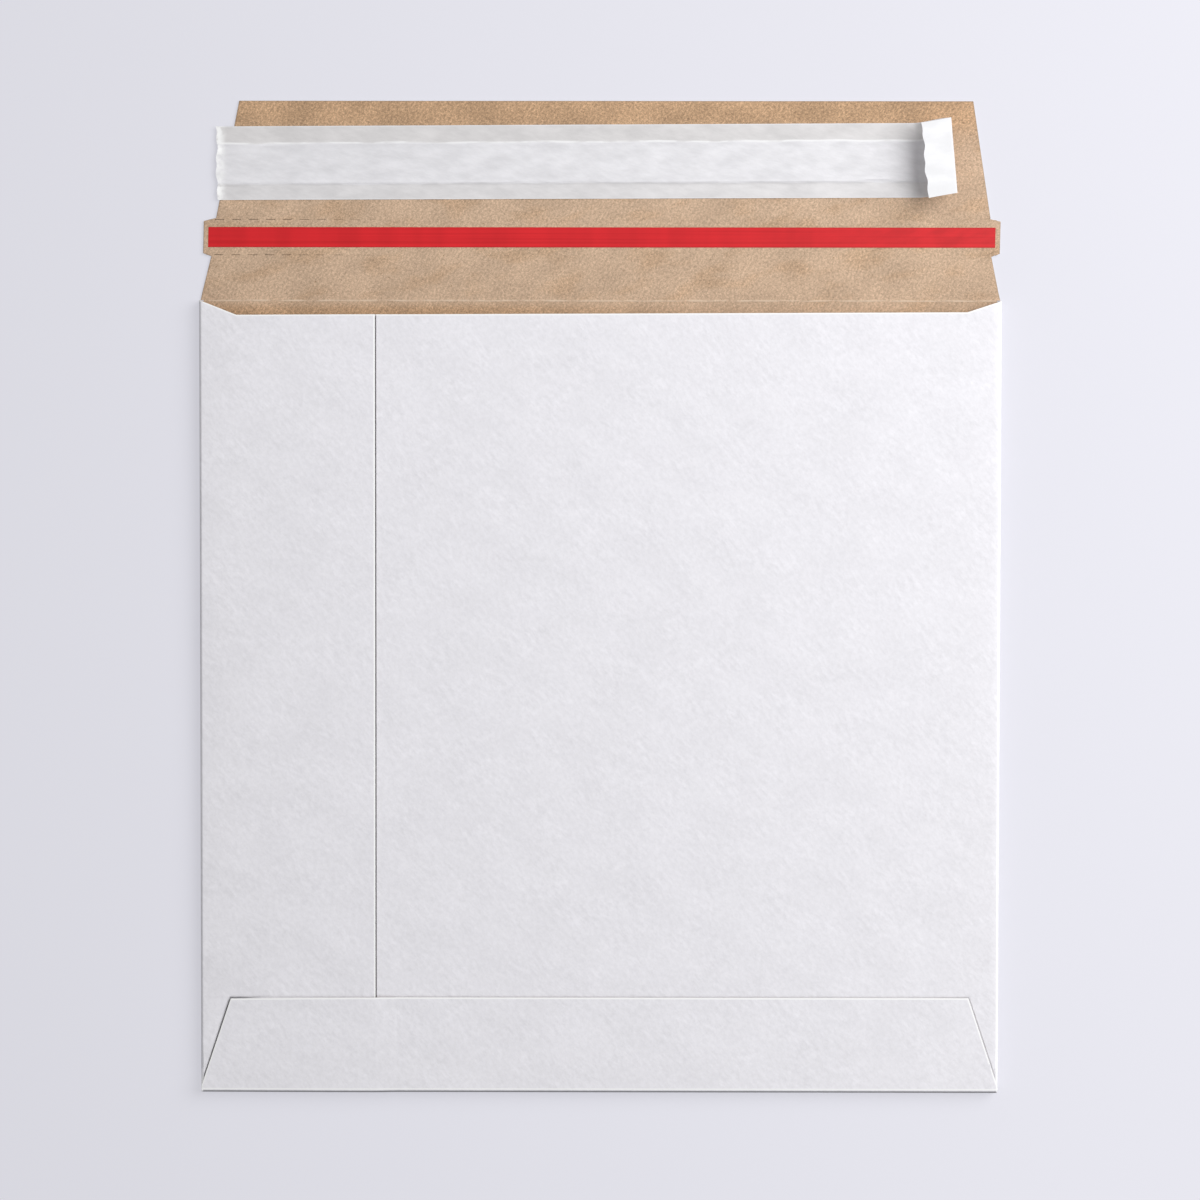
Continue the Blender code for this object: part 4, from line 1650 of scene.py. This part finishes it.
@dataclass
class ReleaseLiner:
    """The peel-off paper over the adhesive, with its lifted and folded finger tab."""

    band: AdhesiveBand
    width: float = 0.0293
    thickness: float = 0.0001
    overhang: float = 0.0027
    end_skew: float = 0.0001
    end_wave: float = 0.00025
    end_stations: int = 3
    long_wave: float = 11.0
    short_wave: float = 27.0
    fold_inset: float = 0.0111
    lift_length: float = 0.0135
    lift_drift: float = 0.0007
    lift_height: float = 0.0098
    fold_radius: float = 0.0005
    return_length: float = 0.0112
    return_rise: float = 0.001
    skew_deg: float = 5.1
    step_half: float = 0.0005
    margin_level: float = 0.00008
    air: float = 0.0001
    bound_wave: float = 0.0005
    ridge_height: float = 0.00016
    ridge_inset: float = 0.0006
    ridge_half: float = 0.0009
    loose_wave: float = 0.00016
    wrinkle_height: float = 0.00005
    stuck_rise: float = 0.0012
    flare: float = 0.014
    curl_height: float = 0.0010
    curl_length: float = 0.0042
    curl_change: float = 0.45
    curl_wave: float = 0.0035
    flat_steps: int = 210
    lift_steps: int = 30
    fold_steps: int = 10
    return_steps: int = 14
    rows: int = 44
    squash_keep: float = 0.06
    stations: list[tuple[float, float, float]] = field(default_factory=list)

    @property
    def flap(self) -> ClosingFlap:
        """The flap that the liner lies on."""
        return self.band.flap

    @property
    def middle_y(self) -> float:
        """Middle line."""
        return self.flap.layout.crease_y + self.band.middle

    @property
    def side_x(self) -> float:
        """The flap's side at the liner's middle line."""
        return self.flap.side_at(self.band.middle)

    @property
    def left_x(self) -> float:
        """Left end."""
        return -self.side_x - self.overhang

    @property
    def fold_x(self) -> float:
        """The finger tab's fold line."""
        return self.side_x - self.fold_inset

    @property
    def level(self) -> float:
        """Middle of the paper over the adhesive."""
        return self.band.top + self.thickness / 2 + self.air

    @property
    def relief_half(self) -> float:
        """Half width of the stretch that the adhesive bears up."""
        return (self.band.width - self.band.upper_trim) / 2

    @property
    def relief_shift(self) -> float:
        """Middle of that stretch, above the liner's middle line."""
        return -self.band.upper_trim / 2

    def lay_stations(self) -> None:
        """List the liner's cross-sections as (flat length, X, rise), from left to right."""
        start = self.fold_x - self.lift_length
        self.stations = []
        for step in range(self.flat_steps):
            x = self.left_x + (start - self.left_x) * step / self.flat_steps
            self.stations.append((x, x, 0.0))
        for step in range(self.lift_steps + 1):
            share = step / self.lift_steps
            rise = self.lift_height * eased(share, 0.0, 1.0)
            x = start + self.lift_length * share
            self.stations.append((x, x, rise))
        for step in range(1, self.fold_steps + 1):
            angle = math.pi * step / self.fold_steps
            flat = self.fold_x + self.fold_radius * angle
            x = self.fold_x + self.fold_radius * math.sin(angle)
            rise = self.lift_height + self.fold_radius * (1.0 - math.cos(angle))
            self.stations.append((flat, x, rise))
        top = self.lift_height + 2.0 * self.fold_radius
        for step in range(1, self.return_steps + 1):
            share = step / self.return_steps
            flat = self.fold_x + self.fold_radius * math.pi + self.return_length * share
            x = self.fold_x - self.return_length * share
            self.stations.append((flat, x, top + self.return_rise * share))

    @property
    def fold_index(self) -> int:
        """Station at the outermost line of the fold."""
        return self.flat_steps + self.lift_steps + self.fold_steps // 2

    def end_line(self, share: float) -> float:
        """Waves of a ripped-off paper end, at a share of the liner's width."""
        slow = math.sin(self.long_wave * share)
        return self.end_wave * (slow + math.cos(self.short_wave * share))

    def relief(self, x: float, y: float) -> float:
        """Height of the stuck paper over its level on the adhesive, less on the margins."""
        outside = abs(y - self.relief_shift) - self.relief_half
        outside += self.bound_wave * ripple(x, y * 0.2, 0.02, 1.0)
        margin = eased(outside, -self.step_half, self.step_half)
        drop = self.level - self.flap.top - self.thickness / 2 - self.margin_level
        off_ridge = eased(abs(outside + self.ridge_inset), 0.0, self.ridge_half)
        ridge = self.ridge_height * (1.0 - off_ridge)
        loose = eased(abs(y), self.relief_half, self.width / 2)
        wave = self.loose_wave * loose * (0.6 + 0.6 * ripple(x, y, 0.012, 2.0))
        wrinkle = self.wrinkle_height * ripple(x, y * 2.0, 0.007, 5.0)
        return -drop * margin + ridge + wave + wrinkle

    def curl(self, x: float, y: float) -> float:
        """Rise of the free left end."""
        near = 1.0 - share_of(x - self.left_x, 0.0, self.curl_length)
        uneven = 1.0 - self.curl_change * (1.0 - ripple(0.0, y, self.curl_wave, 9.0))
        return self.curl_height * near * near * uneven

    def place(self, index: int, share: float) -> tuple[Vector, tuple[float, float]]:
        """Where one point of the grid goes.

        Args:
            index: Station, from the left end.
            share: Share of the width, from the lower edge.

        Returns:
            Its place in space and its flat place.
        """
        flat, x, rise = self.stations[index]
        y = (share - 0.5) * self.width
        flat_y = y
        last = len(self.stations) - 1
        skew = math.tan(math.radians(self.skew_deg))
        start_x = self.fold_x - self.lift_length
        lean = eased(x, self.left_x, start_x) if index < self.flat_steps else 1.0
        x -= skew * y * lean
        if index == 0:
            x -= self.end_skew * (share - 0.5)
        x += self.end_line(share) * (1.0 - share_of(index, 0.0, self.end_stations))
        x += self.end_line(share) * share_of(index, last - self.end_stations, last)
        if index > self.fold_index:
            turned = math.tan(math.radians(2.0 * self.skew_deg))
            y -= turned * (self.stations[self.fold_index][1] - self.stations[index][1])
        stuck = 1.0 - eased(rise, 0.0, self.stuck_rise)
        z = self.level + rise + (self.relief(x, y) + self.curl(x, y)) * stuck
        along = x - self.left_x
        y *= 1.0 + self.flare * share_of(along, 0.0, self.fold_x - self.left_x)
        y += self.middle_y + self.band.turn * along
        y += self.lift_drift * min(1.0, rise / self.lift_height)
        if index <= self.fold_index:
            z += self.flap.lift(x, y)
        return Vector((x, y, z)), (flat, flat_y)

    def build(self, finish: SiliconePaper) -> bpy.types.Object:
        """Make the liner's object."""
        self.lay_stations()
        columns = len(self.stations) - 1
        sheet = Sheet(-0.5, 0.5, -0.5, 0.5, 0.0)
        sheet.mesh.clear()
        bmesh.ops.create_grid(
            sheet.mesh, x_segments=columns, y_segments=self.rows, size=0.5
        )
        sheet.note_flat()
        u_layer = sheet.mesh.verts.layers.float["flat_u"]
        v_layer = sheet.mesh.verts.layers.float["flat_v"]
        for vert in sheet.mesh.verts:
            index = round((vert.co.x + 0.5) * columns)
            vert.co, flat = self.place(index, vert.co.y + 0.5)
            vert[u_layer], vert[v_layer] = flat
        sheet.thicken(self.thickness)
        material = finish.make(
            self.width / 2, self.relief_half, self.relief_shift, self.left_x, self.fold_x
        )
        liner = sheet.to_object("liner_paper_strip", [material] * len(Face))
        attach(liner, "flap")
        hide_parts("release_liner")
        anchor = Vector((0.0, self.middle_y, self.level))
        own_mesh(liner)
        return liner


@dataclass
class Studio:
    """Pale floor, one soft lamp, an even sky and the camera above the envelope."""

    floor_colour: Colour = (0.79, 0.787, 0.853)
    clouds: Grain = Grain(0.2, 0.15, 25.0)
    cloud_depth: float = 0.005
    floor_size: float = 6.0
    floor_drop: float = 0.0002
    floor_glow: float = 0.65
    floor_fade: float = 0.06
    floor_reach: float = 0.3
    key_light: float = 0.515
    sky_light: float = 0.4
    key_distance: float = 1.3
    key_size: float = 1.2
    key_azimuth_deg: float = 28.0
    key_elevation_deg: float = 47.0
    camera_place: tuple[float, float, float] = (0.00341, 0.03227, 1.150)
    camera_turn_deg: tuple[float, float, float] = (-1.659, 0.171, 0.068)
    lens: float = 85.96

    def lay_floor(self) -> None:
        """Put a plain pale floor under the envelope."""
        mesh = bmesh.new()
        bmesh.ops.create_grid(mesh, x_segments=1, y_segments=1, size=self.floor_size / 2)
        bmesh.ops.translate(mesh, vec=(0.0, 0.0, -self.floor_drop), verts=mesh.verts)
        data = bpy.data.meshes.new("floor")
        mesh.to_mesh(data)
        mesh.free()
        data.materials.append(self.paint_floor())
        floor = bpy.data.objects.new("floor", data)
        bpy.context.scene.collection.objects.link(floor)
        floor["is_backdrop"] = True

    def paint_floor(self) -> bpy.types.Material:
        """Make the floor's finish: matt, partly glowing to the camera, brighter at the right."""
        recipe = Recipe("pale_floor", 0.9, 0.0)
        place = recipe.object_place()
        across, _, _ = recipe.parts(place)
        shade = recipe.vary(recipe.grain(place, self.clouds), self.cloud_depth)
        material = recipe.finish(recipe.shade(self.floor_colour, shade))
        reach = self.floor_reach
        ramp = recipe.remap(across, -reach, reach, 1.0 - self.floor_fade, 1.0 + self.floor_fade)
        glow = recipe.tree.nodes.new("ShaderNodeEmission")
        recipe.tree.links.new(recipe.shade(self.floor_colour, ramp), glow.inputs["Color"])
        path = recipe.tree.nodes.new("ShaderNodeLightPath")
        seen = recipe.calc("MAXIMUM", path.outputs["Is Camera Ray"], path.outputs["Is Glossy Ray"])
        seen = recipe.calc("MAXIMUM", seen, path.outputs["Is Transmission Ray"])
        mix = recipe.tree.nodes.new("ShaderNodeMixShader")
        recipe.fill(mix.inputs["Fac"], recipe.calc("MULTIPLY", seen, self.floor_glow))
        recipe.tree.links.new(recipe.shader.outputs["BSDF"], mix.inputs[1])
        recipe.tree.links.new(glow.outputs["Emission"], mix.inputs[2])
        output = recipe.tree.nodes["Material Output"]
        recipe.tree.links.new(mix.outputs["Shader"], output.inputs["Surface"])
        return material

    def light(self) -> None:
        """Add a large soft key lamp at the right and an even sky, at the plain level."""
        azimuth = math.radians(self.key_azimuth_deg)
        elevation = math.radians(self.key_elevation_deg)
        out = Vector(
            (
                math.cos(azimuth) * math.cos(elevation),
                math.sin(azimuth) * math.cos(elevation),
                math.sin(elevation),
            )
        )
        lamp = bpy.data.lights.new("key", "AREA")
        lamp.shape = "DISK"
        lamp.size = self.key_size
        spread = math.pi * self.key_distance**2 + self.key_size**2
        lamp.energy = math.pi * self.key_light * spread / math.sin(elevation)
        key = bpy.data.objects.new("key", lamp)
        key.location = out * self.key_distance
        key.rotation_mode = "QUATERNION"
        key.rotation_quaternion = out.to_track_quat("Z", "Y")
        bpy.context.scene.collection.objects.link(key)
        world = bpy.data.worlds.new("sky")
        world.use_nodes = True
        sky = world.node_tree.nodes["Background"]
        sky.inputs["Color"].default_value = (1.0, 1.0, 1.0, 1.0)
        sky.inputs["Strength"].default_value = self.sky_light
        bpy.context.scene.world = world

    def set_camera(self) -> None:
        """Place the camera nearly straight above, as in the photograph."""
        lens = bpy.data.cameras.new("camera")
        lens.lens = self.lens
        lens.clip_start = 0.01
        camera = bpy.data.objects.new("camera", lens)
        camera.location = self.camera_place
        camera.rotation_euler = tuple(math.radians(turn) for turn in self.camera_turn_deg)
        bpy.context.scene.collection.objects.link(camera)
        bpy.context.scene.camera = camera

    def build(self) -> None:
        """Set up the whole studio."""
        self.lay_floor()
        self.light()
        self.set_camera()
        bpy.context.scene.view_settings.view_transform = "Standard"


def report(piece: bpy.types.Object) -> None:
    """Log one finished piece."""
    LOG.info("%s: %d faces", piece.name, len(piece.data.polygons))


def write_sizes() -> None:
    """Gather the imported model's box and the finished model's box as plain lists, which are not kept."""
    boxes = {"cad": CAD_BOX, "visual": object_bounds()}
    plain = {name: [list(corner) for corner in box] for name, box in boxes.items()}


def main() -> None:
    """Build and dress every piece, then the studio."""
    logging.basicConfig(level=logging.INFO, format="%(message)s")
    layout = Layout.from_frame()
    board = Board()
    kraft = KraftFace().make(layout.crease_y, layout.flap_end_y)
    finishes = [kraft, WhiteCoating().make(), CutEdge().make()]
    report(Pocket(layout, board).build(finishes))
    flap = ClosingFlap(layout, board)
    report(flap.build(finishes))
    report(TearTape(flap).build(RedFilm()))
    band = AdhesiveBand(flap)
    report(band.build(ClosingGlue()))
    report(ReleaseLiner(band).build(SiliconePaper()))
    Studio().build()
    write_sizes()


if __name__ == "__main__":
    main()
